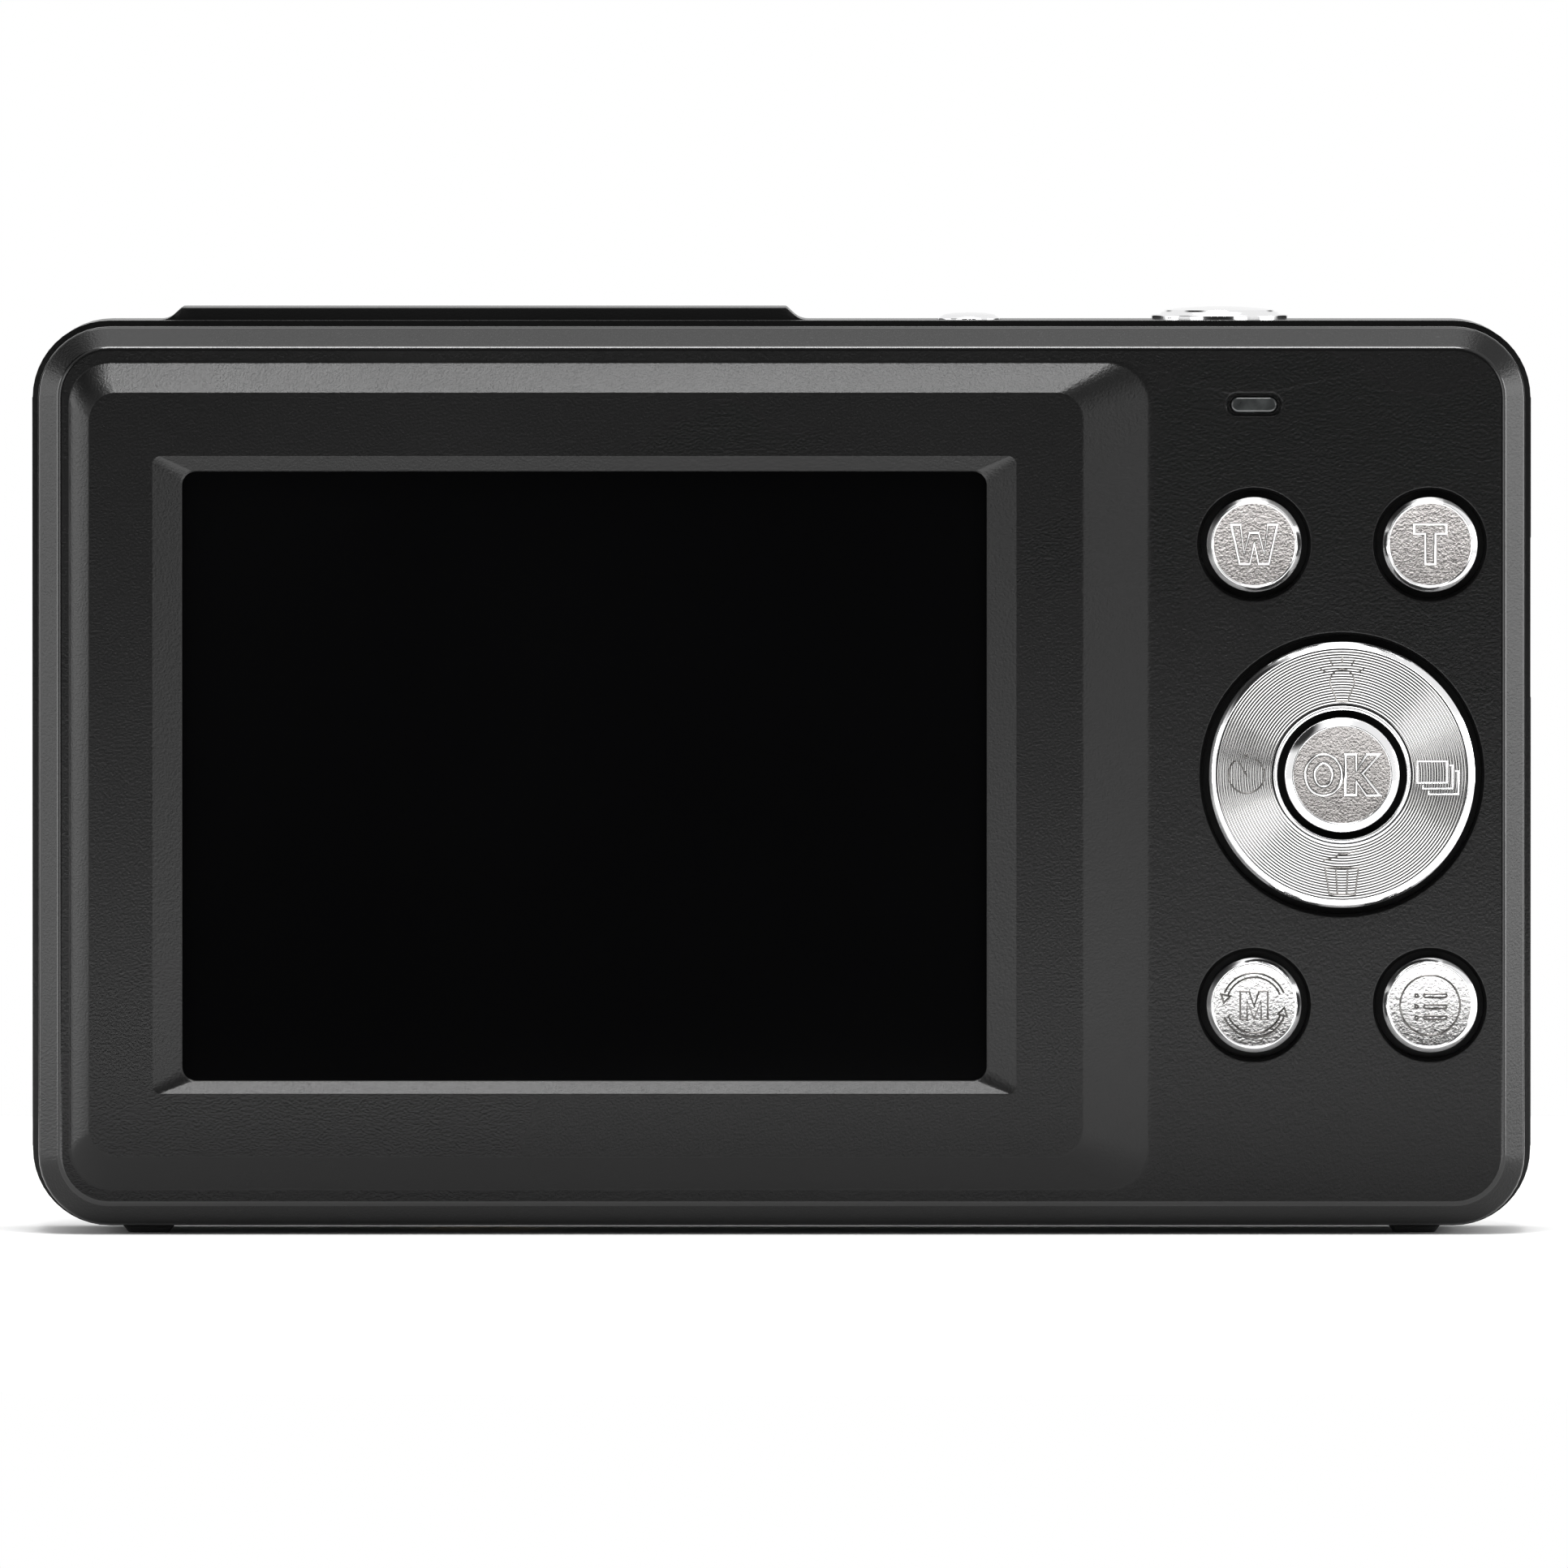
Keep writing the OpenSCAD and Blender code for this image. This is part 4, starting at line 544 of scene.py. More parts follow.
def legend_lines(node, x, z):
    """Lines of a key's legend: pairs of points and whether the line is closed."""
    if node == "wide_key":
        return [(letter_w(x, z), True)]
    if node == "tele_key":
        return [(letter_t(x, z), True)]
    if node == "mode_key":
        lines = [(letter_m(x, z), True)]
        for turn in (22, 202):
            lines.append((arc(x, z, 1.72, turn, turn + 136, 20), False))
            lines.append((arc(x, z, 1.98, turn, turn + 136, 20), False))
        for turn in (166, 346):
            a = math.radians(turn)
            ahead = Vector((-math.sin(a), math.cos(a)))
            aside = Vector((math.cos(a), math.sin(a)))
            tip = Vector((x, z)) + aside * 1.85
            head = [tip + ahead * 0.3, tip - ahead * 0.18 + aside * 0.3, tip - ahead * 0.18 - aside * 0.3]
            lines.append(([tuple(p) for p in head], True))
        return lines
    lines = [(arc(x, z, 1.85, 0, 350, 35), True)]
    for row_z in (0.59, -0.09, -0.77):
        lines.append((arc(x - 0.83, z + row_z, 0.1, 0, 315, 7), True))
        pill = arc(x + 0.92, z + row_z, 0.11, -90, 90, 5) + arc(x - 0.28, z + row_z, 0.11, 90, 270, 5)
        lines.append((pill, True))
    return lines


for node in small_keys:
    low, high = box_mm(node)
    middle = (low + high) / 2
    key_r = (high.x - low.x) / 2 - key_flange
    disc_r = key_r - key_bevel
    face = low.y
    flange_y = inside_y + 0.1
    disc = grained_silver if node in ("wide_key", "tele_key") else grained_chrome
    side_y = face + key_bevel + 0.1
    key_form = bmesh.new()
    profile = eased([
        (0, face + key_face_sink), (disc_r - 0.06, face + key_face_sink, 0.02), (disc_r, face, 0.03),
        (disc_r + 0.05, face, 0.03), (key_r, face + key_bevel, 0.06), (key_r, flange_y),
        (key_r + key_flange, flange_y, 0.05), (key_r + key_flange, flange_y + key_flange_t, 0.05),
        (stem_r, flange_y + key_flange_t), (stem_r, high.y), (0, high.y)], 3)
    turned(key_form, profile, (middle.x, middle.z),
           lambda a, b: 3 if max(a[1], b[1]) > side_y else 1 if b[0] <= disc_r - 0.03 else 0)
    for points, closed in legend_lines(node, middle.x, middle.z):
        raised_line(key_form, points, ridge_widths[node], face + key_face_sink + 0.02, face - 0.05,
                    closed, 2, 4)
    # The W and T legends have bright crests; the mode and menu crests are grey, a painted shade
    crest = legend_silver if node in ("wide_key", "tele_key") else ridge_crest_painted_shade
    key = piece(node + "_plated", key_form, chrome, disc, crest, bare_plastic_and_gap_shade, ridge_flank_painted_shade)
    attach(key, node + "_body")
    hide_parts(node)


# ---------- four-way pad and OK key ----------
# The pad is a plated ring with turned grooves and a polished chamfer, which rocks on a ring behind it.
# Its four legends are raised lines. The OK key stands in the middle and moves straight in.
turned_chrome = finish("turned_silver", (0.44, 0.436, 0.432), (0.50, 0.495, 0.49), 0.13, grain=0.5,
                       depth=0.0008, metal=1.0, patch=2.5, spread=0.03)
groove_pitch = 0.168
groove_depth = 0.02
groove_r0, groove_r1 = 4.35, 7.75
pad_bevel = 0.36

pad_low, pad_high = box_mm("four_way_pad")
pad_middle = (pad_low + pad_high) / 2
pad_x, pad_z = pad_middle.x, pad_middle.z
pad_face = pad_low.y
pad_r = (pad_high.x - pad_low.x) / 2 - pad_flange
ok_low, ok_high = box_mm("ok_key")
pad_hole_r = 3.975
pad_pocket_r = pad_hole_r + 0.95
pad_back_y = inside_y + 1.0
pad_flange_y = inside_y + 0.4
nub_r = 0.8
rock_r = 6.7


def groove_points():
    """Points across the pad's face: a row of fine rounded grooves between a hub and a rim."""
    count = round((groove_r1 - groove_r0) / groove_pitch)
    points = [(groove_r0 - 0.1, pad_face)]
    for k in range(count * 6 + 1):
        turn = 2 * math.pi * k / 6
        points.append((groove_r0 + groove_pitch * k / 6, pad_face + groove_depth * (1 - math.cos(turn)) / 2))
    return points


pad_form = bmesh.new()
pad_front_y = inside_y + 0.1
pad_side_y = pad_face + pad_bevel + 0.1
pad_profile = eased([(pad_hole_r, pad_front_y), (pad_hole_r, pad_face + 0.18, 0.08),
                     (pad_hole_r + 0.18, pad_face, 0.06)], 3)
pad_profile += groove_points()
pad_profile += eased([
    (pad_r - pad_bevel, pad_face, 0.05), (pad_r, pad_face + pad_bevel, 0.06), (pad_r, pad_flange_y),
    (pad_r + pad_flange, pad_flange_y, 0.08), (pad_r + pad_flange, pad_back_y, 0.08),
    (pad_pocket_r, pad_back_y), (pad_pocket_r, pad_front_y), (pad_hole_r, pad_front_y)], 3)
turned(pad_form, pad_profile, (pad_x, pad_z), lambda a, b: 3 if max(a[1], b[1]) > pad_side_y else
       1 if groove_r0 <= a[0] and b[0] <= groove_r1 + 0.01 else 0, 160)
bmesh.ops.remove_doubles(pad_form, verts=pad_form.verts, dist=0.001)
nub_foot_y = pad_back_y - 0.05
nub = [(0, nub_foot_y), (nub_r, nub_foot_y), (nub_r, pad_high.y - 0.1), (nub_r - 0.1, pad_high.y),
       (0, pad_high.y)]
for dx, dz in ((rock_r, 0), (-rock_r, 0), (0, rock_r), (0, -rock_r)):
    turned(pad_form, nub, (pad_x + dx, pad_z + dz), None, 32)


def pad_legends():
    """Lines of the four legends on the pad, from its middle: light, self-timer, burst and delete."""
    lines = []
    bulb = [(-0.38, 4.52), (-0.42, 4.85), (-0.62, 5.2)] + arc(0.0, 5.76, 0.76, 218, -38, 18)
    bulb += [(0.62, 5.2), (0.42, 4.85), (0.38, 4.52)]
    lines.append((bulb, True))
    for turn in (30, 60, 90, 120, 150):
        a = math.radians(turn)
        lines.append(([(1.16 * math.cos(a), 5.76 + 1.16 * math.sin(a)),
                       (1.55 * math.cos(a), 5.76 + 1.55 * math.sin(a))], False))
    lines.append((arc(-5.9, 0.0, 1.12, 128, 420, 30), False))
    lines.append(([(-6.4, 0.85), (-6.1, 0.35), (-5.85, -0.1)], False))
    lines.append((arc(-5.9, 1.16, 0.1, 0, 315, 7), True))
    lines.append(([(4.63, 0.83), (6.46, 0.83), (6.46, -0.49), (4.63, -0.49)], True))
    for step in (0.35, 0.7):
        left, right, foot, head = 4.63 + step, 6.46 + step, -0.49 - step, 0.93 - step
        lines.append(([(right - 0.19, head), (right, head), (right, foot), (left, foot),
                       (left, foot + 0.2)], False))
    lines.append(([(-1.06, -5.72), (1.01, -5.72), (0.8, -7.36), (-0.79, -7.36)], True))
    lines.append(([(-0.38, -5.8), (-0.3, -7.28)], False))
    lines.append(([(0.34, -5.8), (0.28, -7.28)], False))
    lid = [(-1.17, -5.26), (-0.35, -5.06), (-0.2, -4.86), (0.16, -4.88), (0.26, -4.86), (1.01, -4.68)]
    lines.append((lid, False))
    return lines


# The legend on the right of the pad has bright crests, and the other three have grey crests that are a
# painted shade
for points, closed in pad_legends():
    crest_number = 5 if points[0][0] > groove_r0 else 2
    raised_line(pad_form, [(pad_x + x, pad_z + z) for x, z in points], 0.14, pad_face + 0.03, pad_face - 0.06,
                closed, crest_number, 4)
pad = piece("four_way_pad_plated", pad_form, chrome, turned_chrome, ridge_crest_painted_shade, bare_plastic_and_gap_shade, ridge_flank_painted_shade,
            legend_silver)
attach(pad, "pad_body")
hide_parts("four_way_pad")

ok_silver = finish("grained_ok_silver", (0.24, 0.229, 0.223), (0.30, 0.288, 0.281), 0.18, grain=0.15,
                   depth=0.06, metal=1.0, patch=0.6, spread=0.06)
ok_r = 3.55
ok_bevel = 0.5
ok_face = ok_low.y
ok_flange_y = inside_y + 0.35
ok_flange_r = pad_pocket_r - 0.35
ok_flange_t = 0.45
ok_disc_r = ok_r - ok_bevel
ok_disc_y = ok_face + 0.08
ok_side_y = ok_face + ok_bevel + 0.2
ok_form = bmesh.new()
ok_profile = eased([
    (0, ok_disc_y), (ok_disc_r - 0.08, ok_disc_y, 0.02), (ok_disc_r - 0.02, ok_face, 0.03),
    (ok_disc_r + 0.04, ok_face, 0.03), (ok_r, ok_face + 0.62 * ok_bevel, 0.1), (ok_r, ok_flange_y),
    (ok_flange_r, ok_flange_y, 0.05), (ok_flange_r, ok_flange_y + ok_flange_t, 0.05),
    (stem_r, ok_flange_y + ok_flange_t), (stem_r, ok_high.y), (0, ok_high.y)], 3)
turned(ok_form, ok_profile, (pad_x, pad_z),
       lambda a, b: 3 if max(a[1], b[1]) > ok_side_y else 1 if b[0] <= ok_disc_r - 0.05 else 0)


def letter_k(x, z):
    """Outline of a K, 2.12 wide and 2.5 tall."""
    w, h, stroke = 1.06, 1.25, 0.66
    return [(x - w, z + h), (x - w + stroke, z + h), (x - w + stroke, z + 0.28), (x + w - 0.82, z + h),
            (x + w - 0.02, z + h), (x - 0.04, z + 0.1), (x + w, z - h), (x + w - 0.84, z - h),
            (x - w + stroke, z - 0.36), (x - w + stroke, z - h), (x - w, z - h)]


def letter_o(x, z, w, h):
    """Outline of an O."""
    turns = [2 * math.pi * k / 40 for k in range(40)]
    return [(x + w * math.cos(a), z + h * math.sin(a)) for a in turns]


ok_lines = (letter_o(pad_x - 1.15, pad_z, 1.13, 1.27), letter_o(pad_x - 1.15, pad_z, 0.55, 0.72),
            letter_k(pad_x + 1.27, pad_z))
for points in ok_lines:
    raised_line(ok_form, points, 0.24, ok_face + 0.1, ok_face - 0.045, True, 2, 4)
ok_key = piece("ok_key_plated", ok_form, chrome, ok_silver, legend_silver, bare_plastic_and_gap_shade, ridge_flank_painted_shade)
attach(ok_key, "ok_key_body")
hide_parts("ok_key")


# ---------- status light ----------
# A smoked light pipe, moulded in acrylic, that carries the glow of a lamp on the board. It is pressed in from
# inside, held by the ledge at its foot, and stands just under the flat.
smoked = finish("clear_plastic", (0.012, 0.013, 0.013), (0.03, 0.032, 0.032), 0.12, grain=0.4, depth=0.006,
                patch=0.8, spread=0.06)
pipe_form = bmesh.new()
pipe_y = flat_y + 0.07
pipe_foot = 0.6
pipe_profile = eased([
    (0.3, pipe_y), (0, pipe_y, 0.16), (0, inside_y), (-pipe_foot, inside_y),
    (-pipe_foot, inside_y + pipe_foot), (0.3, inside_y + pipe_foot)], 4)
pipe_rows = skin(pipe_form, [light_outline(pipe_len - 2 * inset, pipe_tall - 2 * inset, y)
                             for inset, y in pipe_profile])
fill_flat(pipe_form, [pipe_rows[0]])
fill_flat(pipe_form, [pipe_rows[-1]])
pipe = piece("status_light_lens", pipe_form, smoked)
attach(pipe, "root")
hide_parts("status_light_pipe")


# ---------- front shell, side trims and strap pin ----------
# The front of the case, an ABS moulding as deep as the inside, with its lens hole, the opening for the
# battery door and a pocket for the strap. A trim strip is glued into each end.
def dress(node, made, edge=0.06, segments=2):
    """Gives a CAD node its finish and breaks its sharp edges by a small radius, in millimetres."""
    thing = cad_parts[node]
    thing.data.materials.clear()
    thing.data.materials.append(made)
    joined = thing.modifiers.new("joined", "WELD")
    joined.merge_threshold = 0.002 * MM
    if edge:
        broken = thing.modifiers.new("broken_edges", "BEVEL")
        broken.width = edge * MM
        broken.segments = segments
        broken.limit_method = "ANGLE"
        broken.angle_limit = math.radians(28)
        broken.use_clamp_overlap = True
    normals = thing.modifiers.new("even_normals", "WEIGHTED_NORMAL")
    normals.keep_sharp = False
    return thing


front_plastic = finish("black_plastic", grey(0.004), grey(0.005), 0.3, grain=0.16, depth=0.016, patch=30,
                       Specular_IOR_Level=0.28)
trim_plastic = finish("side_trim_plastic", grey(0.004), grey(0.006), 0.34, grain=0.4, depth=0.004, patch=20,
                      Specular_IOR_Level=0.3)
steel = finish("steel", (0.52, 0.52, 0.53), grey(0.62), 0.28, grain=0.4, depth=0.004, metal=1.0, patch=4)
dress("front_shell", front_plastic, 0.16, 3)
for node in ("left_side_trim", "right_side_trim"):
    dress(node, trim_plastic, 0.08)
dress("strap_pin", steel, 0.08)


# ---------- lens panel ----------
# The raised panel round the lens, a separate ABS moulding that runs up the front and over the top edge.
# Its sides ramp up in an S, and it is screwed on from inside.
panel_low, panel_high = box_mm("lens_panel")
front_high = box_mm("front_shell")[1]
lens_low, lens_high = box_mm("lens_ring")
lens_middle = ((lens_low.x + lens_high.x) / 2, (lens_low.z + lens_high.z) / 2)
front_bevel = 1.5
ramp = 1.35
panel_corner = 2.2
panel_sink = 0.12
panel_hole_r = 13.05


def panel_path():
    """Stations from the foot of the front face, up and over to the back edge of the hump.
    Each is the (y, z) point on the case and the one on the panel above it."""
    stations = []
    foot_z = panel_low.z
    front_y, face_y = front_high.y, panel_high.y
    top_z, crown_z = front_high.z, panel_high.z
    for rise, w in ((0, 0.0), (0.12, 0.35), (0.45, 0.75), (0.95, 0.97), (1.4, 1.0)):
        stations.append(((front_y, foot_z + rise), (front_y + (face_y - front_y) * w, foot_z + rise)))
    for z in (20.0, 36.0, top_z - front_bevel - 1.2):
        stations.append(((front_y, z), (face_y, z)))
    for k in range(9):
        a = math.radians(90 * k / 8)
        share = front_bevel * k / 8
        on_case = (front_y - share, top_z - front_bevel + share)
        stations.append((on_case, (face_y - panel_corner + panel_corner * math.cos(a),
                                   crown_z - panel_corner + panel_corner * math.sin(a))))
    back_y = panel_low.y
    for y in (3.0, -1.0, back_y + 0.9):
        stations.append(((y, top_z), (y, crown_z)))
    for out, w in ((0.12, 0.99), (0.03, 0.93), (0.0, 0.8), (0.0, 0.0)):
        stations.append(((back_y + out, top_z), (back_y + out, top_z + (crown_z - top_z) * w)))
    return stations


def panel_across():
    """Points across the panel: X, and how far up the ramp from 0 at the case to 1 on the panel."""
    side = [(0.0, 0.0), (0.14, 0.02), (0.3, 0.06), (0.46, 0.13), (0.62, 0.24), (0.78, 0.39), (0.94, 0.57),
            (1.1, 0.76), (1.2, 0.88), (1.28, 0.96), (ramp, 1.0), (ramp + 0.5, 1.0)]
    left = [(panel_low.x + out, w) for out, w in side]
    right = [(panel_high.x - out, w) for out, w in reversed(side)]
    return left + right


panel_form = bmesh.new()
grid = []
for on_case, on_panel in panel_path():
    rise = (on_panel[0] - on_case[0], on_panel[1] - on_case[1])
    grid.append([panel_form.verts.new((x, on_case[0] + rise[0] * w, on_case[1] + rise[1] * w))
                 for x, w in panel_across()])
under = []
for on_case, on_panel in panel_path():
    down = Vector((on_case[0] - on_panel[0], on_case[1] - on_panel[1]))
    if down.length < 1e-6:
        down = Vector((-1, 0)) if on_case[1] < lens_middle[1] else Vector((0, -1))
    down = down.normalized() * panel_sink
    under.append([panel_form.verts.new((x, on_case[0] + down.x, on_case[1] + down.y))
                  for x, w in panel_across()])
for sheet in (grid, under):
    for near, far in zip(sheet, sheet[1:]):
        for i in range(len(near) - 1):
            panel_form.faces.new((near[i], near[i + 1], far[i + 1], far[i]))
for end in (0, -1):
    for k in range(len(grid) - 1):
        panel_form.faces.new((grid[k][end], grid[k + 1][end], under[k + 1][end], under[k][end]))
    for i in range(len(grid[0]) - 1):
        panel_form.faces.new((grid[end][i], grid[end][i + 1], under[end][i + 1], under[end][i]))


def drilled(thing, middle, r, y0, y1):
    """Drills a round hole along Y through a piece."""
    bit_form = bmesh.new()
    turned(bit_form, [(0, y0), (r, y0), (r, y1), (0, y1)], middle)
    bit = piece("drill", bit_form)
    cut = thing.modifiers.new("drilled", "BOOLEAN")
    cut.object = bit
    cut.solver = "EXACT"
    thing.modifiers.move(len(thing.modifiers) - 1, 0)
    bpy.context.view_layer.update()
    result = bpy.data.meshes.new_from_object(thing.evaluated_get(bpy.context.evaluated_depsgraph_get()))
    thing.modifiers.remove(cut)
    thing.data = result
    bpy.data.objects.remove(bit)


panel = piece("lens_panel_moulding", panel_form, front_plastic)
drilled(panel, lens_middle, panel_hole_r, front_high.y - 3, panel_high.y + 3)
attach(panel, "root")
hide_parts("lens_panel")


# ---------- lens unit ----------
# A turned alloy ring holds the front window; behind it a stepped black hood leads to the plastic barrel
# with its two lenses, the infrared filter and the sensor on its board.
alloy = finish("lens_ring_alloy", (0.55, 0.55, 0.56), (0.63, 0.63, 0.64), 0.3, grain=0.12, depth=0.006,
               metal=1.0, patch=6)
lens_black = finish("lens_black", grey(0.006), grey(0.010), 0.6, grain=0.2, depth=0.01, patch=5)
border_black = finish("printed_black", grey(0.003), grey(0.004), 0.06, grain=2.0, depth=0.0003, patch=12,
                      spread=0.02)
glass = finish("lens_glass", (0.93, 0.95, 0.97), (0.97, 0.98, 1.0), 0.02, grain=3.0, depth=0.0002, patch=10,
               spread=0.01, Transmission_Weight=1.0, IOR=1.5)
coated_glass = finish("coated_lens_glass", (0.60, 0.55, 0.85), (0.75, 0.85, 0.95), 0.02, grain=3.0,
                      depth=0.0002, patch=6, spread=0.01, Transmission_Weight=1.0, IOR=1.6)
filter_glass = finish("filter_glass", (0.35, 0.75, 0.72), (0.45, 0.85, 0.8), 0.04, patch=3,
                      Transmission_Weight=1.0)
sensor_die = finish("sensor_die", (0.02, 0.03, 0.06), (0.05, 0.04, 0.09), 0.15, grain=0.1, depth=0.003,
                    patch=1.5)
circuit = finish("circuit_board", (0.006, 0.06, 0.025), (0.012, 0.10, 0.045), 0.35, grain=0.5, depth=0.01,
                 patch=3)

ring_r = (lens_high.x - lens_low.x) / 2
crown_y = lens_high.y
ring_foot_y = panel_high.y
window_low, window_high = box_mm("lens_window")
ledge_y = window_low.y
lens_window_r = (window_high.x - window_low.x) / 2
bore_r = lens_window_r - 1.2
seat_r = lens_window_r + glue_gap
spigot_r = lens_window_r + 0.2
crown_width = 2.3
cone_mouth_r = ring_r - crown_width - 0.08
cone_drop = 0.86
rib_count = 10
rib_height = 0.035
ring_profile = [(spigot_r, lens_low.y), (spigot_r, ring_foot_y - 0.02), (ring_r - 0.3, ring_foot_y - 0.02)]
ring_profile += eased([(ring_r - 0.1, ring_foot_y + 0.1), (ring_r - 0.1, ring_foot_y + 0.25),
                       (ring_r, ring_foot_y + 0.35, 0.05), (ring_r, crown_y - 1.1, 0.25),
                       (ring_r - 0.8, crown_y, 0.2), (ring_r - crown_width, crown_y, 0.12)], 4)
for k in range(rib_count * 4):
    share = (k + 1) / (rib_count * 4 + 1)
    depth = crown_y - 0.04 - cone_drop * share + rib_height * math.cos(2 * math.pi * k / 4)
    ring_profile.append((cone_mouth_r + (seat_r - cone_mouth_r) * share, depth))
ring_profile += [(seat_r, crown_y - 0.9), (seat_r, ledge_y), (bore_r, ledge_y), (bore_r, lens_low.y),
                 (spigot_r, lens_low.y)]
ring_form = bmesh.new()
turned(ring_form, ring_profile, lens_middle, None, 144)
bmesh.ops.remove_doubles(ring_form, verts=ring_form.verts, dist=0.001)
ring = piece("lens_ring_turned", ring_form, alloy)
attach(ring, "root")
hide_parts("lens_ring")

clear_r = 9.2
lens_window_form = bmesh.new()
turned(lens_window_form, eased([
    (0, ledge_y), (clear_r, ledge_y), (lens_window_r, ledge_y), (lens_window_r, window_high.y, 0.1),
    (clear_r, window_high.y), (0, window_high.y)], 3), lens_middle,
    lambda a, b: 1 if min(a[0], b[0]) >= clear_r - 0.001 else 0, 128)
lens_window = piece("lens_window_glass", lens_window_form, glass, border_black)
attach(lens_window, "root")
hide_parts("lens_window")

dress("lens_hood", lens_black, 0.04)
dress("lens_barrel", lens_black, 0.08)
for node in ("front_lens", "rear_lens"):
    dress(node, coated_glass, 0)
dress("infrared_filter", filter_glass, 0.03)
dress("image_sensor", sensor_die, 0.04)
dress("sensor_board", circuit, 0.05)


# ---------- shutter button, its ring and the power button ----------
# Plated caps that stand in the top of the front shell: a low power button and a domed shutter button in a
# ledged ring, each with a flange below the wall. A coil spring lifts the shutter button.
power_low, power_high = box_mm("power_button")
power_middle = ((power_low.x + power_high.x) / 2, (power_low.y + power_high.y) / 2)
top_wall = 1.6
wall_under = front_high.z - top_wall
cap_flange_t = 0.6
power_flange = 0.8
power_stem_r = 0.8
power_flange_z = wall_under - 0.1
power_foot_z = power_flange_z - cap_flange_t
power_r = (power_high.x - power_low.x) / 2 - power_flange
power_form = bmesh.new()
turned(power_form, eased([
    (0, power_high.z), (power_r - 0.9, power_high.z - 0.03, 0.3), (power_r - 0.35, power_high.z - 0.12, 0.12),
    (power_r, power_high.z - 0.36, 0.08), (power_r, power_flange_z),
    (power_r + power_flange, power_flange_z, 0.05), (power_r + power_flange, power_foot_z, 0.05),
    (power_stem_r, power_foot_z), (power_stem_r, power_low.z), (0, power_low.z)], 4),
    power_middle, None, 72, True)
power = piece("power_button_plated", power_form, chrome)
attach(power, "power_body")
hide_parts("power_button")

seat_low, seat_high = box_mm("shutter_ring")
shutter_low, shutter_high = box_mm("shutter_button")
shutter_middle = ((seat_low.x + seat_high.x) / 2, (seat_low.y + seat_high.y) / 2)
seat_flange = 0.85
seat_outer_r = (seat_high.x - seat_low.x) / 2 - seat_flange
seat_wall = 0.325
seat_bore_r = seat_outer_r - seat_wall
seat_flange_z = wall_under - glue_gap
seat_foot_z = seat_flange_z - 0.55
seat_form = bmesh.new()
turned(seat_form, eased([
    (seat_bore_r, seat_high.z - 0.06), (seat_bore_r + 0.06, seat_high.z), (seat_outer_r, seat_high.z, 0.12),
    (seat_outer_r, seat_flange_z), (seat_outer_r + seat_flange, seat_flange_z),
    (seat_outer_r + seat_flange, seat_foot_z), (seat_bore_r, seat_foot_z),
    (seat_bore_r, seat_high.z - 0.06)], 4), shutter_middle, None, 96, True)
bmesh.ops.remove_doubles(seat_form, verts=seat_form.verts, dist=0.001)
seat = piece("shutter_ring_plated", seat_form, chrome)
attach(seat, "root")
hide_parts("shutter_ring")

shutter_r = seat_bore_r - 0.1
dome_r = 26
dome_edge_r = shutter_r - 0.45
dome = [(0, shutter_high.z)]
for k in range(1, 9):
    r = dome_edge_r * k / 8
    dome.append((r, shutter_high.z - dome_r + math.sqrt(dome_r ** 2 - r ** 2)))
dome_edge_z = dome[-1][1]
shutter_flange = 0.775
shutter_stem_r = 1
cap_z = seat_foot_z - 0.1
shutter_form = bmesh.new()
turned(shutter_form, dome + eased([
    (shutter_r - 0.3, dome_edge_z - 0.07, 0.08), (shutter_r, dome_edge_z - 0.4, 0.12), (shutter_r, cap_z),
    (shutter_r + shutter_flange, cap_z), (shutter_r + shutter_flange, cap_z - cap_flange_t),
    (shutter_stem_r, cap_z - cap_flange_t), (shutter_stem_r, shutter_low.z), (0, shutter_low.z)], 4),
    shutter_middle, None, 96, True)
shutter = piece("shutter_button_plated", shutter_form, chrome)
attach(shutter, "shutter_body")
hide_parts("shutter_button")
dress("shutter_spring", steel, 0)


# ---------- display under the screen window ----------
# A foam gasket seals the window; under it the liquid crystal panel, its white light guide and the folded
# steel tray, with a flexible film ribbon that runs to the main board.
foam = finish("foam", (0.012, 0.012, 0.013), (0.022, 0.022, 0.024), 0.95, grain=0.25, depth=0.05, patch=2)
display_glass = finish("display_glass", (0.008, 0.009, 0.012), (0.012, 0.013, 0.017), 0.12, grain=1.0,
                       depth=0.0005, patch=15)
light_guide = finish("light_guide", (0.72, 0.73, 0.72), (0.82, 0.82, 0.80), 0.35, grain=0.3, depth=0.003,
                     patch=4)
ribbon_film = finish("ribbon_film", (0.35, 0.13, 0.02), (0.50, 0.21, 0.04), 0.3, grain=0.6, depth=0.006,
                     patch=2)
dress("screen_gasket", foam, 0.08)
dress("lcd_panel", display_glass, 0.05)
dress("lcd_backlight", light_guide, 0.06)
dress("lcd_tray", steel, 0.06)
dress("lcd_ribbon", ribbon_film, 0.02)


# ---------- chassis and circuit boards ----------
# A glass-filled moulding carries the inside parts. The green boards are epoxy glass with black chips and
# small dome switches soldered on; screws hold them to the chassis and the halves of the case together.
chassis_plastic = finish("chassis_plastic", (0.020, 0.020, 0.021), (0.030, 0.030, 0.032), 0.5, grain=0.3,
                         depth=0.012, patch=8)
chip_black = finish("chip_black", (0.010, 0.010, 0.011), grey(0.018), 0.45, grain=0.1, depth=0.004, patch=2)
switch_steel = finish("switch_steel", (0.45, 0.45, 0.46), (0.58, 0.58, 0.57), 0.32, grain=0.2, depth=0.003,
                      metal=1.0, patch=1.5)
rocker_plastic = finish("rocker_plastic", (0.55, 0.55, 0.54), (0.64, 0.64, 0.62), 0.4, grain=0.3,
                        depth=0.006, patch=3)
screw_steel = finish("screw_steel", (0.10, 0.10, 0.11), grey(0.18), 0.3, grain=0.15, depth=0.004, metal=1.0,
                     patch=1)
dress("chassis", chassis_plastic, 0.1)
dress("main_board", circuit, 0.05)
dress("top_board", circuit, 0.05)
dress("board_chips", chip_black, 0.06)
dress("key_switches", switch_steel, 0.05)
dress("top_switches", switch_steel, 0.05)
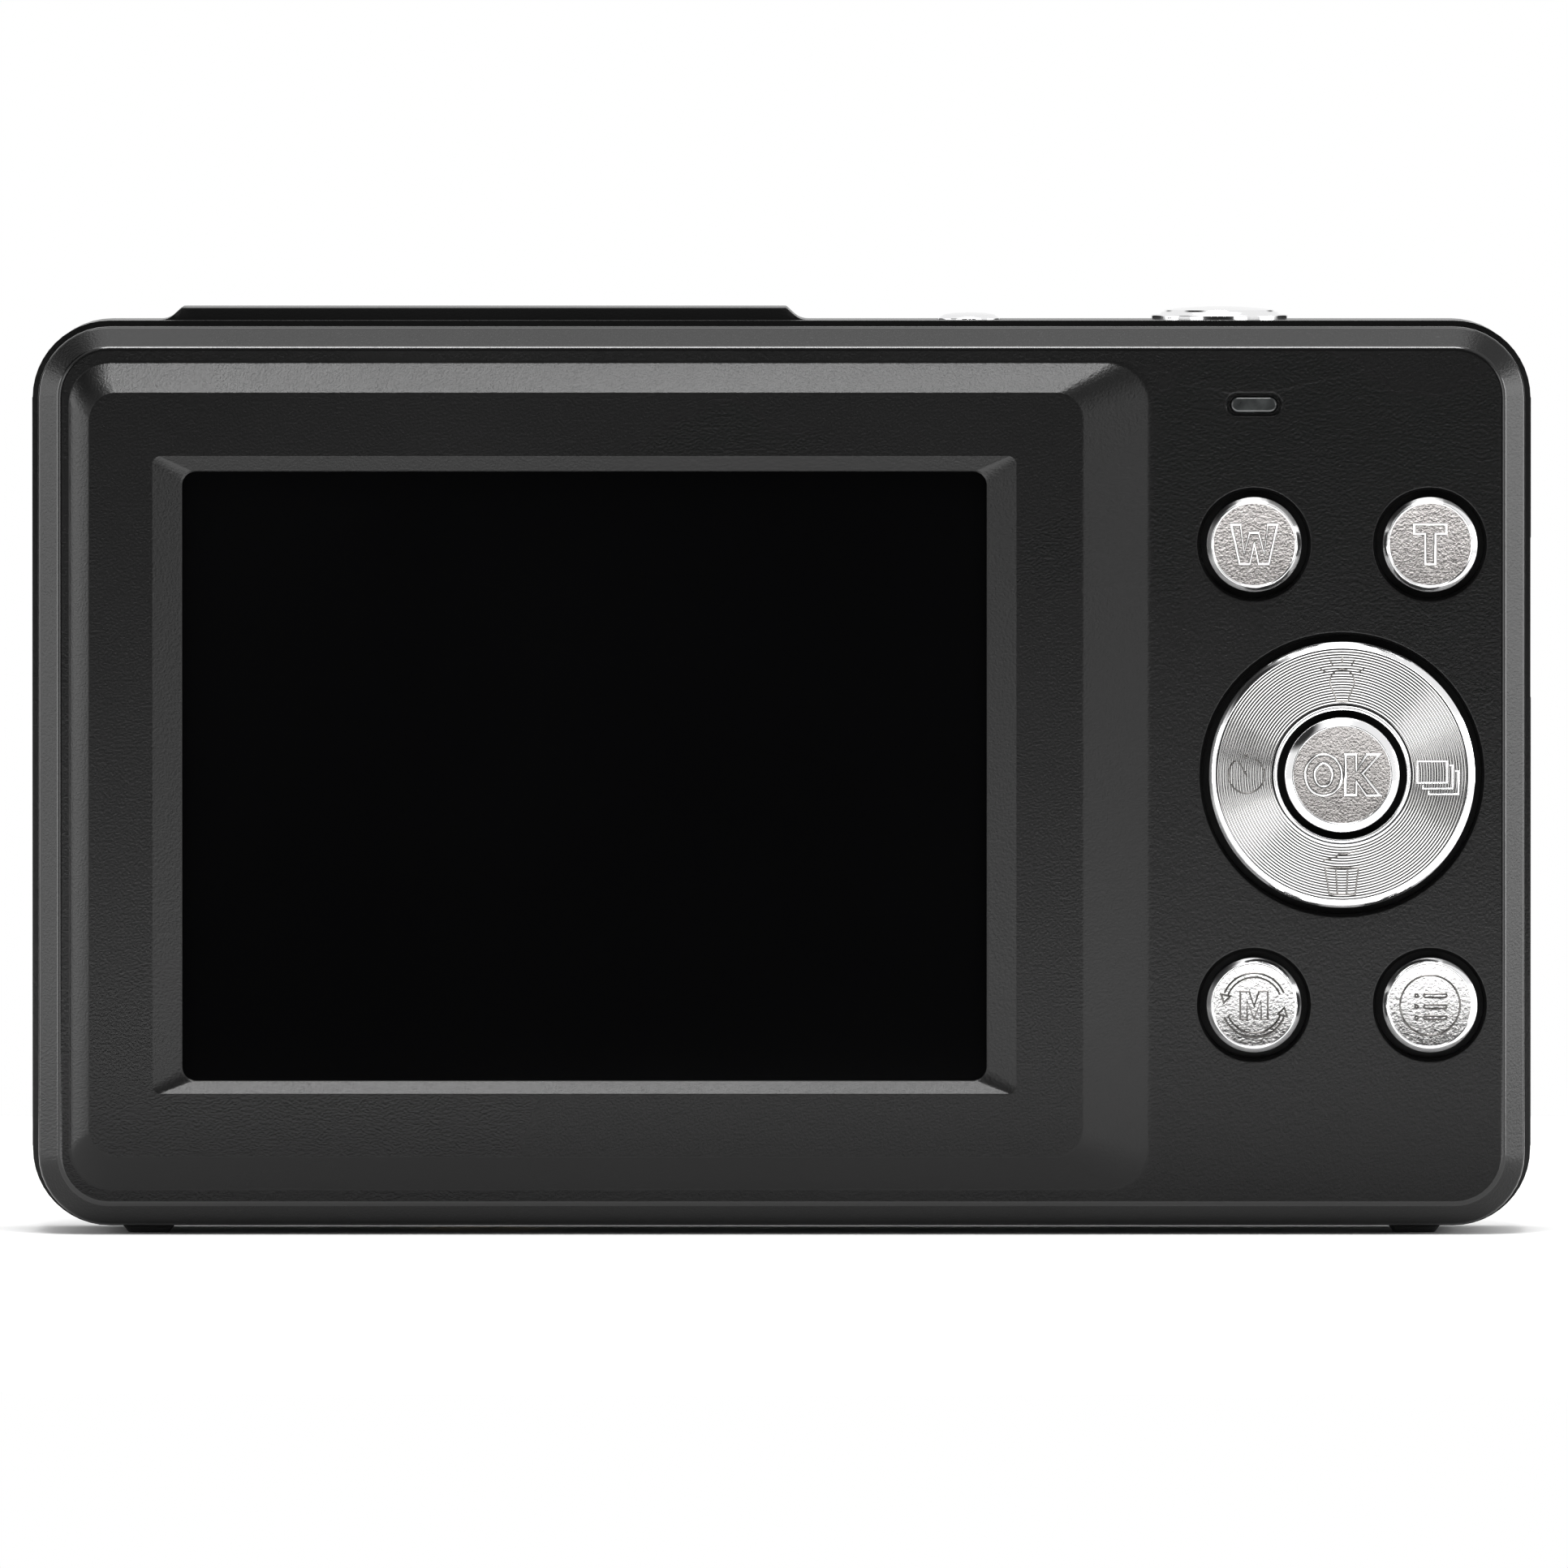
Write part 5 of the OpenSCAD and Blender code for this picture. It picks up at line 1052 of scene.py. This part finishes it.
dress("pad_rocker", rocker_plastic, 0.1)
dress("board_screws", screw_steel, 0.05)
dress("case_screws", screw_steel, 0.05)


# ---------- fill light, microphone and speaker ----------
# A frosted window, held by a flange behind the wall, covers a white lamp on its own small board. The
# microphone can and the speaker sit behind holes in the case.
frosted_plastic = finish("frosted_plastic", (0.80, 0.81, 0.80), (0.86, 0.86, 0.85), 0.28, grain=0.35,
                       depth=0.012, patch=2, Transmission_Weight=0.35)
lamp = finish("lamp_phosphor", (0.75, 0.60, 0.10), (0.85, 0.72, 0.18), 0.4, grain=0.15, depth=0.006,
              patch=1)
white_board = finish("white_board", (0.70, 0.70, 0.68), (0.78, 0.78, 0.76), 0.4, grain=0.3, depth=0.005,
                     patch=2)
can_metal = finish("can_metal", (0.50, 0.48, 0.42), (0.62, 0.60, 0.52), 0.25, grain=0.2, depth=0.003,
                   metal=1.0, patch=1)
cone_film = finish("speaker_plastic", (0.012, 0.012, 0.013), (0.022, 0.022, 0.024), 0.35, grain=0.3,
                   depth=0.01, patch=2)
dress("fill_light_window", frosted_plastic, 0.12, 3)
dress("fill_light_led", lamp, 0.06)
dress("fill_light_board", white_board, 0.04)
dress("microphone", can_metal, 0.08)
dress("speaker", cone_film, 0.08)


# ---------- battery, its bay, door and latch ----------
# The lithium pack slides into a moulded bay against gilt spring contacts. A hinged ABS door closes the
# bottom, held by a sliding latch with a ribbed grip.
pack_label = finish("battery_label", (0.09, 0.10, 0.12), (0.13, 0.14, 0.16), 0.35, grain=0.4, depth=0.004,
                    patch=12)
gilt = finish("contact_gold", (0.80, 0.55, 0.20), (0.90, 0.66, 0.28), 0.22, grain=0.15, depth=0.003,
              metal=1.0, patch=1)
door_plastic = finish("door_plastic", grey(0.004), grey(0.006), 0.32, grain=0.16, depth=0.016, patch=30,
                      Specular_IOR_Level=0.3)
latch_plastic = finish("latch_plastic", grey(0.010), grey(0.014), 0.36, grain=0.16, depth=0.014, patch=6,
                       Specular_IOR_Level=0.35)
dress("battery_bay", chassis_plastic, 0.08)
dress("battery", pack_label, 0.4, 4)
dress("battery_contacts", gilt, 0.04)
dress("battery_door", door_plastic, 0.1, 3)
dress("door_hinge_pin", steel, 0.05)
dress("door_latch", latch_plastic, 0.06)


# ---------- card socket, card and sockets ----------
# A folded steel socket takes the memory card beside the battery. The data socket is a steel shell on the
# edge of the main board.
card_plastic = finish("card_plastic", (0.02, 0.03, 0.07), (0.03, 0.045, 0.10), 0.38, grain=0.3, depth=0.006,
                      patch=5)
dress("card_socket", steel, 0.05)
dress("memory_card", card_plastic, 0.08)
dress("usb_socket", steel, 0.06)


# ---------- tripod bush and feet ----------
# A threaded brass bush is pressed into the bottom of the front shell, and small rubber feet are glued into
# pockets at the ends.
brass = finish("brass", (0.66, 0.47, 0.19), (0.76, 0.56, 0.25), 0.24, grain=0.2, depth=0.004, metal=1.0,
               patch=3)
rubber = finish("rubber", grey(0.006), grey(0.011), 0.75, grain=0.12, depth=0.015, patch=3)
dress("tripod_bush", brass, 0.05)
dress("feet", rubber, 0.2, 3)
